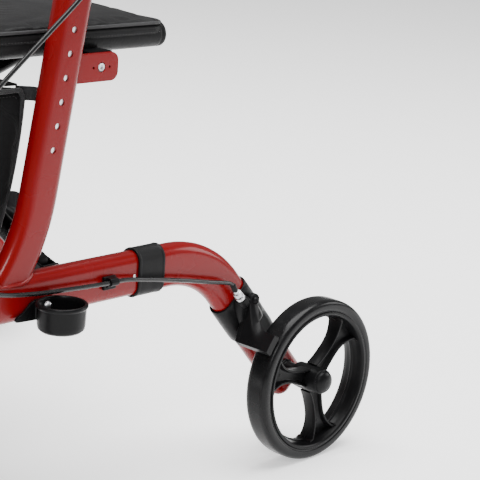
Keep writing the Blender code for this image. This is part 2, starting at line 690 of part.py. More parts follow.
def brake_cable(name, side):
    end = on_down_tube(SLEEVE_FAR + 0.0160 + 2 * GAP) + ADJUSTER_X * X_AXIS
    lead_in = on_down_tube(SLEEVE_FAR + 0.0300) + ADJUSTER_X * X_AXIS
    route = [Vector(p) + FRAME_X * X_AXIS for p in CABLE_ROUTE] + [lead_in, end]
    points = smooth_route(route, CABLE_STEP)
    data = bpy.data.curves.new(name, "CURVE")
    data.dimensions = "3D"
    data.bevel_depth = CABLE_R
    data.bevel_resolution = 2
    data.use_fill_caps = True
    spline = data.splines.new("POLY")
    spline.points.add(len(points) - 1)
    for point, place in zip(spline.points, points):
        point.co = (side * place.x, place.y, place.z, 1)
    curve = bpy.data.objects.new(name, data)
    WALKER.objects.link(curve)
    return finish(curve_to_mesh(curve), BLACK)


def cable_clip(name, side):
    """Clip on the rail's outer face that holds the cable."""
    wall, out, cable_x = FRAME_X + RAIL_OUT + GAP, FRAME_X + CLIP_OUT, FRAME_X + CABLE_OUT
    low, high = sorted((side * wall, side * out))
    clip = block(name, (low, -0.0270, 0.2580), (high, -0.0030, 0.2730))
    hole = rod(name + "_hole", (side * cable_x, -0.05, 0.268), (side * cable_x, 0.02, 0.268),
               CABLE_R + 0.0008, 12)
    cut(clip, hole)
    return finish(clip, BLACK)


# ---- handles ---------------------------------------------------------------------

def handle_post(name, side):
    """The oval tube that slides in the upright and sets the handle's height."""
    middle = (POST_BOTTOM + POST_TOP) / 2
    length = (POST_TOP - POST_BOTTOM) / math.cos(RAKE)
    outer = stood_up(stadium(POST_LONG, POST_WIDE))
    inner = stood_up(stadium(POST_LONG - 2 * POST_WALL, POST_WIDE - 2 * POST_WALL))
    post = plate(name, [outer, inner], length, (side * FRAME_X, upright_y(middle), middle),
                 ALONG_UPRIGHT)
    return finish(post, ALUMINIUM)


def handle_head(name, side):
    """Plastic housing on the post: a socket, the grip's core and the lever's fork."""
    x = side * FRAME_X
    low = UPRIGHT_TOP + 0.006
    front, rear = -0.060, 0.020
    shape = [(0.0120, 0.012), (0.0300, 0.012), (0.0320, 0.030), (rear, 0.035),
             (rear, 0.072), (rear - 0.006, 0.076), (-0.030, 0.0785), (-0.050, 0.070),
             (front, 0.056), (front, 0.035)]
    outline = [(upright_y(low) - 0.0275, low), (upright_y(low) + 0.0275, low)]
    outline += [(y, UPRIGHT_TOP + z) for y, z in shape]
    head = plate(name, [outline], 0.034, (x, 0, 0), SIDE_VIEW)
    bevel(head, 0.0035, 1)
    socket_length = 0.080
    socket_z = POST_TOP - (socket_length / 2 - 2 * GAP) * math.cos(RAKE)
    socket = plate(name + "_socket", [stood_up(stadium(POST_LONG + 2 * GAP,
                                                       POST_WIDE + 2 * GAP))],
                   socket_length, (x, upright_y(socket_z), socket_z), ALONG_UPRIGHT, CUTTERS)
    core_start = GRIP_START - 0.010 * GRIP_AXIS
    core_end = GRIP_START + (GRIP_LENGTH - 0.012) * GRIP_AXIS
    core = rod(name + "_core", core_start + x * X_AXIS, core_end + x * X_AXIS, SPIGOT_R, 16)
    fork = block(name + "_fork", (x - LEVER_THICK / 2 - GAP, 0.0075, LEVER_Z - 0.023),
                 (x + LEVER_THICK / 2 + GAP, 0.045, LEVER_Z + 0.0115), CUTTERS)
    pin = rod(name + "_pin", (x - 0.0150, LEVER_Y, LEVER_Z), (x + 0.0150, LEVER_Y, LEVER_Z),
              LEVER_PIN_R, 12)
    cut(head, socket)
    join(head, core)
    cut(head, fork)
    join(head, pin)
    return finish(head, BLACK)


def grip(name, side):
    """Rubber grip with a palm swell, pushed on the housing's core."""
    length = GRIP_LENGTH
    bore = SPIGOT_R + GAP
    outer = [(0.0150, 0.0), (0.0165, 0.003), (0.0158, 0.022), (0.0176, 0.055),
             (0.0168, 0.085), (0.0164, 0.105), (0.0140, 0.1155), (0.0090, length), (0, length)]
    profile = list(reversed(outer)) + [(bore, 0.0), (bore, length - 0.010), (0, length - 0.010)]
    start = GRIP_START + GAP * GRIP_AXIS + side * FRAME_X * X_AXIS
    obj = turned(name, profile, 18, start, (-math.pi / 2 - GRIP_TILT, 0, 0))
    return finish(obj, RUBBER)


def brake_lever(name, side):
    """Curved finger lever on the fork's pin, below the grip."""
    pivot = (LEVER_Y, LEVER_Z)
    tip = (0.131, LEVER_Z - 0.0352)
    under = [(0.034, -0.0195), (0.062, -0.0300), (0.095, -0.0365), (0.128, -0.0405)]
    over = [(0.129, -0.0300), (0.095, -0.0250), (0.064, -0.0185), (0.040, -0.0080)]
    outline = [*arc(pivot, 0.0085, math.radians(60), math.radians(240), 7),
               *((y, LEVER_Z + z) for y, z in under),
               *arc(tip, 0.0058, math.radians(-80), math.radians(80), 4),
               *((y, LEVER_Z + z) for y, z in over)]
    lever = plate(name, [outline, circle(pivot, LEVER_PIN_R + RUNNING, 12)], LEVER_THICK,
                  (side * FRAME_X, 0, 0), SIDE_VIEW)
    return finish(lever, BLACK)


def knob(name, side):
    """Lobed height knob. Its screw ends just short of the post inside the upright."""
    face = FRAME_X + UPRIGHT_WIDE / 2 + GAP
    tip = FRAME_X + POST_WIDE / 2 + GAP
    y = upright_y(KNOB_Z)
    count = 30
    lobes = []
    for i in range(count):
        angle = 2 * math.pi * i / count
        reach = KNOB_R + KNOB_LOBE * math.cos(5 * angle)
        lobes.append((reach * math.cos(angle), reach * math.sin(angle)))
    body = plate(name, [lobes], 0.014, (side * (face + 0.0135), y, KNOB_Z), SIDE_VIEW)
    end = side * (face + 0.008)
    collar = rod(name + "_collar", (side * face, y, KNOB_Z), (end, y, KNOB_Z), 0.010, 16)
    screw = rod(name + "_screw", (side * tip, y, KNOB_Z), (end, y, KNOB_Z), HOLE_R, 12)
    join(body, collar, screw)
    return finish(body, BLACK)


# ---- fold, seat, bag, strap, cup -------------------------------------------------

def brace_arm(name, foot_side, arm_y):
    """One arm of the X: foot eye, flat-oval arm and the seat tube welded on its top."""
    foot = Vector((foot_side * SEAT_TUBE_X, arm_y, FOOT_Z))
    top = Vector((-foot_side * SEAT_TUBE_X, arm_y, SEAT_TUBE_Z))
    along = (top - foot).normalized()
    rise = math.atan2(along.z, along.x)
    start = foot + 0.010 * along
    middle = (start + top) / 2
    outer = stadium(ARM_TALL, ARM_THICK)
    inner = stadium(ARM_TALL - 2 * ARM_WALL, ARM_THICK - 2 * ARM_WALL)
    arm = plate(name, [outer, inner], (top - start).length, middle,
                (0, math.pi / 2 - rise, 0))
    eye = rod(name + "_eye", foot - Vector((0, ARM_THICK / 2, 0)),
              foot + Vector((0, ARM_THICK / 2, 0)), ARM_TALL / 2, 20)
    r, wall = SEAT_TUBE_R, 0.0018
    front, back = SEAT_FRONT_Y + 0.002, SEAT_BACK_Y - 0.002
    solid = rod(name + "_seat_tube", (top.x, front, SEAT_TUBE_Z), (top.x, back, SEAT_TUBE_Z), r, 20)
    hollow = rod(name + "_bore", (top.x, front - 0.01, SEAT_TUBE_Z),
                 (top.x, back - 0.006, SEAT_TUBE_Z), r - wall, 20)
    pin_hole = rod(name + "_pin_hole", foot - Vector((0, 0.02, 0)), foot + Vector((0, 0.02, 0)),
                   FOOT_PIN_R + RUNNING)
    pivot_z = (FOOT_Z + SEAT_TUBE_Z) / 2
    pivot_hole = rod(name + "_pivot_hole", (0, arm_y - 0.02, pivot_z), (0, arm_y + 0.02, pivot_z),
                     PIVOT_R + RUNNING)
    join(arm, eye, solid)
    cut(arm, hollow, pin_hole, pivot_hole)
    return finish(arm, BLACK_PAINT)


def brace_pivot_bolt(name):
    near, far = ARM_A_Y + ARM_THICK / 2 + GAP, ARM_B_Y - ARM_THICK / 2 - GAP
    z = (FOOT_Z + SEAT_TUBE_Z) / 2
    head, r = 0.005, PIVOT_R
    profile = [(0, near + head), (0.007, near + head), (0.010, near + 0.0035), (0.010, near),
               (r, near), (r, far), (0.010, far), (0.010, far - 0.0035), (0.007, far - head),
               (0, far - head)]
    bolt = turned(name, profile, 14, (0, 0, z), (-math.pi / 2, 0, 0))
    return finish(bolt, STEEL)


def seat(name):
    """Padded sling seat: a flat panel with a hem round each side tube."""
    x0, z0, r, bore = SEAT_TUBE_X, SEAT_TUBE_Z, HEM_R, SEAT_TUBE_R + GAP
    right_hem = arc((x0, z0), r, math.radians(205), math.radians(445), 12)
    top = [(0.80 * x0, z0 + 0.0165), (0.42 * x0, z0 + 0.0200), (0.0, z0 + 0.0215)]
    half = right_hem + top
    mirrored = [(-x, z) for x, z in reversed(half[:-1])]
    under_edge = [(-0.80 * x0, z0 + 0.0060), (0.80 * x0, z0 + 0.0060)]
    outline = half + mirrored + under_edge
    holes = [circle((s * x0, z0), bore, 20) for s in (1, -1)]
    length = SEAT_BACK_Y - SEAT_FRONT_Y
    panel = plate(name, [outline, *holes], length,
                  (0, (SEAT_BACK_Y + SEAT_FRONT_Y) / 2, 0), (math.pi / 2, 0, 0))
    for side, arm_y in ((1, ARM_B_Y), (-1, ARM_A_Y)):
        top_end = Vector((side * x0, arm_y, z0))
        along = Vector((side * 2 * x0, 0, z0 - FOOT_Z)).normalized()
        rise = math.atan2(along.z, along.x)
        centre = top_end - 0.024 * along
        slot = plate(f"{name}_slot_{arm_y}", [stadium(ARM_TALL + 0.004, ARM_THICK + 0.004)],
                     0.060, centre, (0, math.pi / 2 - rise, 0), CUTTERS)
        cut(panel, slot)
    return finish(panel, VINYL)


def bag(name):
    """Zipped bag hung between the uprights, its back along their rake."""
    shape = bmesh.new()
    bmesh.ops.create_cube(shape, size=1)
    for v in shape.verts:
        high = v.co.z > 0
        back = -0.121 if high else -0.170
        deep = 0.125 if high else 0.145
        v.co = Vector((v.co.x * 2 * BAG_WIDE, back if v.co.y > 0 else back - deep,
                       BAG_TOP if high else BAG_BOTTOM))
    mesh = bpy.data.meshes.new(name)
    shape.to_mesh(mesh)
    shape.free()
    obj = mesh_object(name, mesh)
    bevel(obj, 0.022, 3)
    return finish(obj, NYLON)


def back_strap(name):
    """Padded back strap that bows forward between the uprights' tops."""
    span = FRAME_X - UPRIGHT_WIDE / 2 - 0.0015
    radius = (span ** 2 + STRAP_BOW ** 2) / (2 * STRAP_BOW)
    centre = (0, STRAP_Y - STRAP_BOW + radius)
    reach = math.asin(span / (radius + STRAP_HALF))
    low, high = -math.pi / 2 - reach, -math.pi / 2 + reach
    outline = arc(centre, radius + STRAP_HALF, low, high, 16)
    outline += arc(centre, radius - STRAP_HALF, high, low, 16)
    strap = plate(name, [outline], STRAP_TALL, (0, 0, STRAP_Z))
    return finish(strap, NYLON)


def cane_cup(name):
    """Cup for the tip of a cane, bolted to the left rail's outer face."""
    r, lip = CUP_R, CUP_R + 0.0017
    floor, drain = CUP_BOTTOM + 0.003, 0.004
    cup = turned(name, [(lip, CUP_TOP), (lip, CUP_TOP - 0.003), (r, CUP_TOP - 0.0045),
                        (r - 0.001, floor), (r - 0.004, CUP_BOTTOM), (drain, CUP_BOTTOM),
                        (drain, floor), (r - 0.0055, floor), (r - 0.0030, floor + 0.003),
                        (r - 0.0025, CUP_TOP)], 18, (CUP_X, CUP_Y, 0), ring=True)
    wall = FRAME_X + RAIL_OUT + GAP
    pad = block(name + "_pad", (wall, CUP_Y - 0.008, 0.2425),
                (CUP_X - 0.0245, CUP_Y + 0.008, 0.2622), CUTTERS)
    lug = block(name + "_lug", (wall + 0.0005, CUP_Y - 0.040, 0.2440),
                (wall + 0.0040, CUP_Y - 0.005, 0.2580), CUTTERS)
    hole = rod(name + "_bolt_hole", (FRAME_X, CUP_Y, CUP_BOLT_Z),
               (CUP_X - 0.0085, CUP_Y, CUP_BOLT_Z), CUP_BOLT_R + RUNNING, 12)
    join(cup, pad, lug)
    cut(cup, hole)
    return finish(cup, BLACK)


def cup_bolt(name):
    inside = CUP_X - 0.0226
    tip = FRAME_X + 0.009
    profile = [(0, inside + 0.0025), (0.0030, inside + 0.0025), (0.0045, inside + 0.0012),
               (0.0045, inside), (CUP_BOLT_R, inside), (CUP_BOLT_R, tip), (0, tip)]
    return finish(across_turned(name, profile, 12, 1, CUP_Y, CUP_BOLT_Z), STEEL)


# ---- assembly --------------------------------------------------------------------

SIDE_PIECES = (rail, rail_end_plug, upright, head_tube, seat_bracket, seat_saddle,
               bracket_bolt, rail_band, rear_axle, caster_fork, front_axle, brake_sleeve,
               brake_arm, cable_adjuster, brake_cable, cable_clip, handle_post,
               handle_head, grip, brake_lever, knob)

for word, sign in SIDES:
    for make in SIDE_PIECES:
        make(f"{make.__name__}_{word}", sign)
    tyre(f"rear_tyre_{word}", sign * REAR_WHEEL_X, AXLE_Y)
    rim(f"rear_rim_{word}", sign * REAR_WHEEL_X, AXLE_Y, REAR_AXLE_R + RUNNING, 0.0205)
    tyre(f"front_tyre_{word}", sign * FRAME_X, -AXLE_Y)
    rim(f"front_rim_{word}", sign * FRAME_X, -AXLE_Y, FRONT_AXLE_R + RUNNING, 0.0185)

brace_foot("brace_foot_left", 1, ARM_A_Y)
brace_foot("brace_foot_right", -1, ARM_B_Y)
brace_arm("brace_arm_a", 1, ARM_A_Y)
brace_arm("brace_arm_b", -1, ARM_B_Y)
brace_pivot_bolt("brace_pivot_bolt")
seat("seat")
bag("bag")
back_strap("back_strap")
cane_cup("cane_cup")
cup_bolt("cup_bolt")
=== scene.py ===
"""Looks for the side-folding rollator walker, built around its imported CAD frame.

Metres, +Z up; the walker rolls towards -Y and +X is its left side. Places come from the
frame's boxes and joints. Side pieces are made once for the left and mirrored for the right.
"""

import json
import math

import bmesh
import bpy
from mathutils import Matrix, Vector
from mathutils.bvhtree import BVHTree


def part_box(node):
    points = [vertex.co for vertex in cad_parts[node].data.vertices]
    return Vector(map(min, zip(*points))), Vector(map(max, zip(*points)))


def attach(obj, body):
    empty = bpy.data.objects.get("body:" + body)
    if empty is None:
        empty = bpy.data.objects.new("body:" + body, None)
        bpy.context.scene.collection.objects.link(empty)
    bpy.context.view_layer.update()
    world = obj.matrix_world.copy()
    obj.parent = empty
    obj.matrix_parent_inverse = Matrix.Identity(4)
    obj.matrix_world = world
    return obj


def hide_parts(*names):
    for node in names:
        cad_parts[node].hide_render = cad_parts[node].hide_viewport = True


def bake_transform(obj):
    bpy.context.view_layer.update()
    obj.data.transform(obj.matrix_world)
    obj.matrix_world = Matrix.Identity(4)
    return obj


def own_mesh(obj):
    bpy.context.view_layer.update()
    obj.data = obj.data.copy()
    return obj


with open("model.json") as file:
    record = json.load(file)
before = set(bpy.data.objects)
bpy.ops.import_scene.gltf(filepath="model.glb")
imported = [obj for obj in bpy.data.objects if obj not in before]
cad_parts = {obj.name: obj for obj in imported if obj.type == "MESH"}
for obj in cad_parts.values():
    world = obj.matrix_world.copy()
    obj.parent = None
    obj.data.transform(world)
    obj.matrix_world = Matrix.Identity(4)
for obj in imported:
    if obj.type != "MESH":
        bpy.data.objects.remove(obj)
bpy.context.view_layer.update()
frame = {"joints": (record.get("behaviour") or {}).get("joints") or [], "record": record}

PIVOT = {j["name"]: Vector(j["pos_m"]) for j in frame["joints"] if "pos_m" in j}
LINE_UP = Vector(next(j["axis"] for j in frame["joints"] if j["name"] == "left_handle_height"))


def centre(node):
    low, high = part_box(node)
    return (low + high) / 2


# ---- sizes read from the frame, and the few that the frame's boxes can't give --------

FRAME_X = centre("upright_left").x
AXLE = PIVOT["left_rear_roll"]
FRONT_AXLE = PIVOT["left_front_roll"]
WHEEL_R = AXLE.z
TYRE_HALF = (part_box("rear_tyre_left")[1].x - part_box("rear_tyre_left")[0].x) / 2
RIM_R = (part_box("rear_rim_left")[1].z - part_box("rear_rim_left")[0].z) / 2
RAIL_LONG, RAIL_WIDE = 0.052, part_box("rail_left")[1].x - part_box("rail_left")[0].x
RAIL_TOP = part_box("rail_left")[1].z
RAIL_Z = RAIL_TOP - RAIL_LONG / 2
RAIL_BEND_R, RAIL_BEND = 0.130, math.radians(48)
RAIL_TAIL = 0.024
UPRIGHT_LONG = 0.045
UPRIGHT_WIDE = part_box("upright_left")[1].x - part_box("upright_left")[0].x
UPRIGHT_TOP = 0.825
RAKE = math.atan2(LINE_UP.y, LINE_UP.z)
KNOB = PIVOT["left_knob_turn"]
HOLE_TOP, HOLE_PITCH, HOLE_COUNT, HOLE_R = 0.547, 0.0254 * math.cos(RAKE), 6, 0.0035
HEAD = PIVOT["left_caster_swivel"]
SEAT_X = PIVOT["fold"].x
SEAT_Z = PIVOT["seat_swing"].z
SEAT_FRONT, SEAT_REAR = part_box("seat")[0].y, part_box("seat")[1].y
FOOT_Z = PIVOT["fold"].z
ARM_Y = {"brace_arm_a": PIVOT["fold"].y, "brace_arm_b": PIVOT["right_foot"].y}
LEVER = PIVOT["left_lever_squeeze"]
ARM_PIVOT = PIVOT["left_brake_press"]
CABLE_OUT, CABLE_R = 0.022, 0.0025
SLEEVE_NEAR, SLEEVE_FAR, SLEEVE_WALL = 0.091, 0.149, 0.003
WELD_RIPPLE, WELD_PITCH = 0.12, 0.0035
ADJUSTER_OUT = RAIL_WIDE / 2 + SLEEVE_WALL + 0.0075
CABLE_ROUTE = [  # from the brake housing to the barrel adjuster; x is out from the frame
    (0.0175, -0.0135, 0.8310), (0.0215, -0.0060, 0.7850), (0.0265, -0.0060, 0.7250),
    (0.0350, -0.0200, 0.6700), (0.0372, -0.0500, 0.6250), (0.0375, -0.0850, 0.5900),
    (0.0365, -0.1300, 0.5520), (0.0350, -0.1820, 0.5090), (0.0330, -0.2320, 0.4640),
    (0.0300, -0.2680, 0.4180), (0.0270, -0.2780, 0.3680), (0.0245, -0.2600, 0.3250),
    (0.0225, -0.2200, 0.2960), (0.0220, -0.1750, 0.2810), (0.0220, -0.1300, 0.2740),
    (0.0220, -0.0800, 0.2705), (0.0220, -0.0300, 0.2680), (0.0220, 0.0030, 0.2672),
    (0.0220, 0.0350, 0.2625), (0.0222, 0.0680, 0.2565), (0.0228, 0.1020, 0.2500),
    (0.0234, 0.1370, 0.2425),
]
X_AXIS = Vector((1, 0, 0))
DOWN_TUBE = Vector((0, -math.cos(RAIL_BEND), math.sin(RAIL_BEND)))
DOWN_SIDE = Vector((0, math.sin(RAIL_BEND), math.cos(RAIL_BEND)))


def upright_y(z):
    return KNOB.y + (z - KNOB.z) * math.tan(RAKE)


def on_tube(along, across=0.0, out=0.0):
    """A point up the rear tube from the axle, to its upper side, and outwards."""
    base = Vector((FRAME_X + out, AXLE.y, AXLE.z))
    return base + along * DOWN_TUBE + across * DOWN_SIDE


# ---- camera, floor and light -----------------------------------------------------

CAMERA_PLACE = Vector((FRAME_X + 1.336, -1.2535, 0.797))
CAMERA_RIGHT = Vector((0.7260, 0.6849, 0.0621))
CAMERA_BACK = Vector((0.6522, -0.7143, 0.2538))
FOCAL_IN_FRAMES = 3.571               # focal length over the picture's width


def add_camera():
    data = bpy.data.cameras.new("camera")
    data.sensor_width = 36
    data.lens = data.sensor_width * FOCAL_IN_FRAMES
    data.dof.use_dof = False
    data.clip_end = 50
    camera = bpy.data.objects.new("camera", data)
    bpy.context.scene.collection.objects.link(camera)
    back = CAMERA_BACK.normalized()
    up = back.cross(CAMERA_RIGHT).normalized()
    right = up.cross(back)
    turn = Matrix((right, up, back)).transposed().to_4x4()
    camera.matrix_world = Matrix.Translation(CAMERA_PLACE) @ turn
    bpy.context.scene.camera = camera


def add_light(name, place, aim, size, watts):
    data = bpy.data.lights.new(name, "AREA")
    data.shape = "RECTANGLE"
    data.size = data.size_y = size
    data.energy = watts
    light = bpy.data.objects.new(name, data)
    light.location = place
    light.rotation_euler = (Vector(aim) - Vector(place)).to_track_quat("-Z", "Y").to_euler()
    bpy.context.scene.collection.objects.link(light)


def add_stage():
    bpy.ops.mesh.primitive_plane_add(size=24, location=(0, 0, 0))
    floor = bpy.context.object
    floor.name = "floor"
    paint = bpy.data.materials.new("floor_white")
    paint.use_nodes = True
    shader = paint.node_tree.nodes["Principled BSDF"]
    shader.inputs["Base Color"].default_value = (0.92, 0.92, 0.92, 1)
    shader.inputs["Roughness"].default_value = 0.9
    shader.inputs["Specular IOR Level"].default_value = 0.1
    shader.inputs["Emission Color"].default_value = (1, 1, 1, 1)
    shader.inputs["Emission Strength"].default_value = 0.7
    floor.data.materials.append(paint)
    world = bpy.data.worlds.new("studio")
    world.use_nodes = True
    background = world.node_tree.nodes["Background"]
    background.inputs["Color"].default_value = (1, 1, 1, 1)
    background.inputs["Strength"].default_value = 0.30
    bpy.context.scene.world = world
    add_light("key", (2.2, -2.6, 2.6), (0.2, 0.1, 0.3), 1.0, 60)
    add_light("fill", (-2.6, -1.4, 2.0), (0, 0, 0.4), 2.0, 30)
    add_light("top", (0.2, 0.3, 4.0), (0, 0, 0.3), 3.6, 420)
    add_light("rear", (1.6, 3.0, 1.4), (0, 0, 0.3), 1.4, 40)


# ---- materials -------------------------------------------------------------------

class Paint:
    """A Principled material whose colour, roughness and bump come from textures."""

    def __init__(self, name, color, roughness, metallic=0.0, **fixed):
        self.material = bpy.data.materials.new(name)
        self.material.use_nodes = True
        self.tree = self.material.node_tree
        self.shader = self.tree.nodes["Principled BSDF"]
        self.place = self.add("ShaderNodeTexCoord").outputs["Object"]
        self.height = None
        self.color = color
        self.roughness = roughness
        self.shader.inputs["Metallic"].default_value = metallic
        for socket, value in fixed.items():
            self.shader.inputs[socket.replace("_", " ")].default_value = value

    def add(self, kind, **inputs):
        node = self.tree.nodes.new(kind)
        for socket, value in inputs.items():
            node.inputs[socket].default_value = value
        return node

    def link(self, output, socket):
        self.tree.links.new(output, socket)

    def stretched(self, scale):
        mapping = self.add("ShaderNodeMapping", Scale=scale)
        self.link(self.place, mapping.inputs["Vector"])
        return mapping.outputs["Vector"]

    def noise(self, scale, detail=3.0, stretch=None):
        node = self.add("ShaderNodeTexNoise", Scale=scale, Detail=detail)
        self.link(self.stretched(stretch) if stretch else self.place, node.inputs["Vector"])
        return node.outputs["Fac"]

    def cells(self, scale):
        node = self.add("ShaderNodeTexVoronoi", Scale=scale)
        node.feature = "SMOOTH_F1"
        self.link(self.place, node.inputs["Vector"])
        return node.outputs["Distance"]

    def threads(self, pitch, axis):
        """Ribs one pitch apart along an axis of the walker."""
        node = self.add("ShaderNodeTexWave", Scale=math.pi / 10 / pitch, Distortion=0.3)
        node.bands_direction = axis
        self.link(self.place, node.inputs["Vector"])
        return node.outputs["Fac"]

    def larger(self, a, b):
        node = self.tree.nodes.new("ShaderNodeMath")
        node.operation = "MAXIMUM"
        self.link(a, node.inputs[0])
        self.link(b, node.inputs[1])
        return node.outputs[0]

    def vary(self, source, spread, rough_spread):
        """Colour and roughness drift with a texture."""
        mix = self.tree.nodes.new("ShaderNodeMix")
        mix.data_type = "RGBA"
        self.link(source, mix.inputs["Factor"])
        for socket, share in (("A", 1 - spread), ("B", 1 + spread)):
            found = [s for s in mix.inputs if s.name == socket and s.type == "RGBA"][0]
            found.default_value = (*(c * share for c in self.color), 1)
        self.link([s for s in mix.outputs if s.type == "RGBA"][0],
                  self.shader.inputs["Base Color"])
        ramp = self.add("ShaderNodeMapRange", **{"From Min": 0.3, "From Max": 0.7})
        ramp.inputs["To Min"].default_value = self.roughness - rough_spread
        ramp.inputs["To Max"].default_value = self.roughness + rough_spread
        self.link(source, ramp.inputs["Value"])
        self.link(ramp.outputs["Result"], self.shader.inputs["Roughness"])
        return self

    def bump(self, source, depth, strength=1.0):
        node = self.add("ShaderNodeBump", Strength=strength, Distance=depth)
        self.link(source, node.inputs["Height"])
        if self.height is not None:
            self.link(self.height, node.inputs["Normal"])
        self.height = node.outputs["Normal"]
        self.link(self.height, self.shader.inputs["Normal"])
        return self


# Shares of the record's colours that look like the real ones under the renderer.
RED_SHARE, BLACK_SHARE = (0.43, 0.26, 0.30), 0.32


def make_paints():
    color = {m["slot"]: m["base_color"][:3] for m in frame["record"]["materials"]}
    dark = {slot: tuple(BLACK_SHARE * c for c in color[slot]) for slot in color}
    red_coat = tuple(c * share for c, share in zip(color["red_paint"], RED_SHARE))
    red = Paint("red_paint_coat", red_coat, 0.26, Specular_IOR_Level=0.14, Coat_Weight=0.16,
                Coat_Roughness=0.08)
    red.vary(red.noise(14), 0.07, 0.04).bump(red.noise(420, 2), 0.00006, 0.5)
    plastic = Paint("black_plastic_moulded", dark["black_plastic"], 0.32,
                    Specular_IOR_Level=0.10)
    plastic.vary(plastic.noise(30), 0.18, 0.06).bump(plastic.noise(1500, 2), 0.00008, 0.8)
    black = Paint("black_paint_satin", dark["black_paint"], 0.28, Specular_IOR_Level=0.11)
    black.vary(black.noise(22), 0.15, 0.05).bump(black.noise(600, 2), 0.00005, 0.6)
    tyre = Paint("tyre_polyurethane", dark["tyre_rubber"], 0.24, Specular_IOR_Level=0.14)
    tyre.vary(tyre.noise(45, 5), 0.22, 0.08).bump(tyre.noise(900, 3), 0.00010, 0.8)
    grip = Paint("grip_soft_rubber", dark["grip_rubber"], 0.50, Specular_IOR_Level=0.14)
    grip.vary(grip.noise(60, 4), 0.2, 0.08).bump(grip.cells(1400), 0.00015)
    steel = Paint("steel_plated", color["steel"], 0.28, 1.0)
    steel.vary(steel.noise(300, 3, (1, 1, 0.1)), 0.12, 0.08)
    steel.bump(steel.noise(900, 2, (1, 1, 0.1)), 0.00004, 0.5)
    bright = Paint("aluminium_brushed", color["bright_aluminium"], 0.30, 1.0)
    bright.vary(bright.noise(400, 3, (1, 1, 0.03)), 0.08, 0.08)
    bright.bump(bright.noise(900, 2, (1, 1, 0.03)), 0.00004, 0.5)
    cable = Paint("cable_casing_vinyl", dark["cable_casing"], 0.26, Specular_IOR_Level=0.35)
    cable.vary(cable.noise(80), 0.12, 0.04).bump(cable.noise(260, 2), 0.00002, 0.3)
    vinyl = Paint("seat_vinyl_grained", dark["seat_vinyl"], 0.40, Specular_IOR_Level=0.06,
                  Sheen_Weight=0.03, Sheen_Roughness=0.5)
    vinyl.vary(vinyl.noise(18, 5), 0.2, 0.07)
    vinyl.bump(vinyl.cells(620), 0.00030, 0.8).bump(vinyl.noise(70, 4), 0.0006, 0.35)
    nylon = Paint("bag_nylon_weave", dark["bag_nylon"], 0.66, Specular_IOR_Level=0.08,
                  Sheen_Weight=0.03, Sheen_Roughness=0.45)
    weave = nylon.larger(nylon.threads(0.0011, "X"), nylon.threads(0.0011, "Z"))
    nylon.vary(nylon.noise(25, 5), 0.25, 0.08).bump(weave, 0.00030)
    webbing = Paint("webbing_ribbed", color["bag_nylon"], 0.60, Specular_IOR_Level=0.2,
                    Sheen_Weight=0.15, Sheen_Roughness=0.4)
    ribs = webbing.larger(webbing.threads(0.0016, "Z"), webbing.threads(0.0009, "Y"))
    webbing.vary(webbing.noise(40, 4), 0.2, 0.08).bump(ribs, 0.00035)
    thread = Paint("thread_grey", (0.03, 0.03, 0.031), 0.6, Specular_IOR_Level=0.2)
    thread.vary(thread.noise(300), 0.2, 0.1).bump(thread.noise(2500), 0.0001)
    weld = Paint("red_paint_weld", red_coat, 0.34, Specular_IOR_Level=0.22,
                 Coat_Weight=0.2, Coat_Roughness=0.1)
    weld.vary(weld.noise(90), 0.1, 0.05).bump(weld.noise(260, 2), 0.0004, 0.7)
    return {"red_paint": red, "black_plastic": plastic, "black_paint": black,
            "tyre_rubber": tyre, "grip_rubber": grip, "steel": steel,
            "bright_aluminium": bright, "cable_casing": cable, "seat_vinyl": vinyl,
            "bag_nylon": nylon, "webbing": webbing, "thread": thread, "weld": weld}


# ---- mesh helpers ----------------------------------------------------------------

def new_object(name, mesh, smooth=38):
    mesh.shade_smooth()
    mesh.set_sharp_from_angle(angle=math.radians(smooth))
    obj = bpy.data.objects.new(name, mesh)
    bpy.context.scene.collection.objects.link(obj)
    return obj


def finished(name, shape, smooth=38):
    """Turns a bmesh with closed faces into an object."""
    bmesh.ops.recalc_face_normals(shape, faces=shape.faces)
    mesh = bpy.data.meshes.new(name)
    shape.to_mesh(mesh)
    shape.free()
    return new_object(name, mesh, smooth)


def skin(name, rings, loop=False, smooth=38):
    """One closed skin through rings of points, every ring with as many points."""
    shape = bmesh.new()
    rows = [[shape.verts.new(p) for p in ring] for ring in rings]
    pairs = list(zip(rows, rows[1:]))
    if loop:
        pairs.append((rows[-1], rows[0]))
    for a, b in pairs:
        for i in range(len(a)):
            j = (i + 1) % len(a)
            shape.faces.new((a[i], a[j], b[j], b[i]))
    if not loop:
        shape.faces.new(reversed(rows[0]))
        shape.faces.new(rows[-1])
    return finished(name, shape, smooth)


def eased(points, reach, steps=3, closed=False):
    """The same line of points with its corners rounded, at most `reach` back from each."""
    points = [Vector(p) for p in points]
    count = len(points)
    out = []
    for i, p in enumerate(points):
        if not closed and i in (0, count - 1):
            out.append(p)
            continue
        a, b = points[i - 1], points[(i + 1) % count]
        cut_a = min(reach, (a - p).length * 0.45)
        cut_b = min(reach, (b - p).length * 0.45)
        start, end = p + (a - p).normalized() * cut_a, p + (b - p).normalized() * cut_b
        for s in range(steps + 1):
            t = s / steps
            out.append(start * (1 - t) ** 2 + p * (2 * t * (1 - t)) + end * t ** 2)
    return out


def rounded(points, reach, steps=3):
    """A closed outline in two coordinates, with its corners rounded."""
    return [(p.x, p.y) for p in eased([(*p, 0) for p in points], reach, steps, closed=True)]


def smooth_line(points, steps=8):
    """A smooth curve through points, as many steps between each pair."""
    points = [Vector(p) for p in points]
    ring = [2 * points[0] - points[1], *points, 2 * points[-1] - points[-2]]
    out = []
    for a, b, c, d in zip(ring, ring[1:], ring[2:], ring[3:]):
        for s in range(steps):
            t = s / steps
            out.append(0.5 * (2 * b + (c - a) * t + (2 * a - 5 * b + 4 * c - d) * t * t
                              + (3 * b - a - 3 * c + d) * t ** 3))
    return out + [points[-1]]


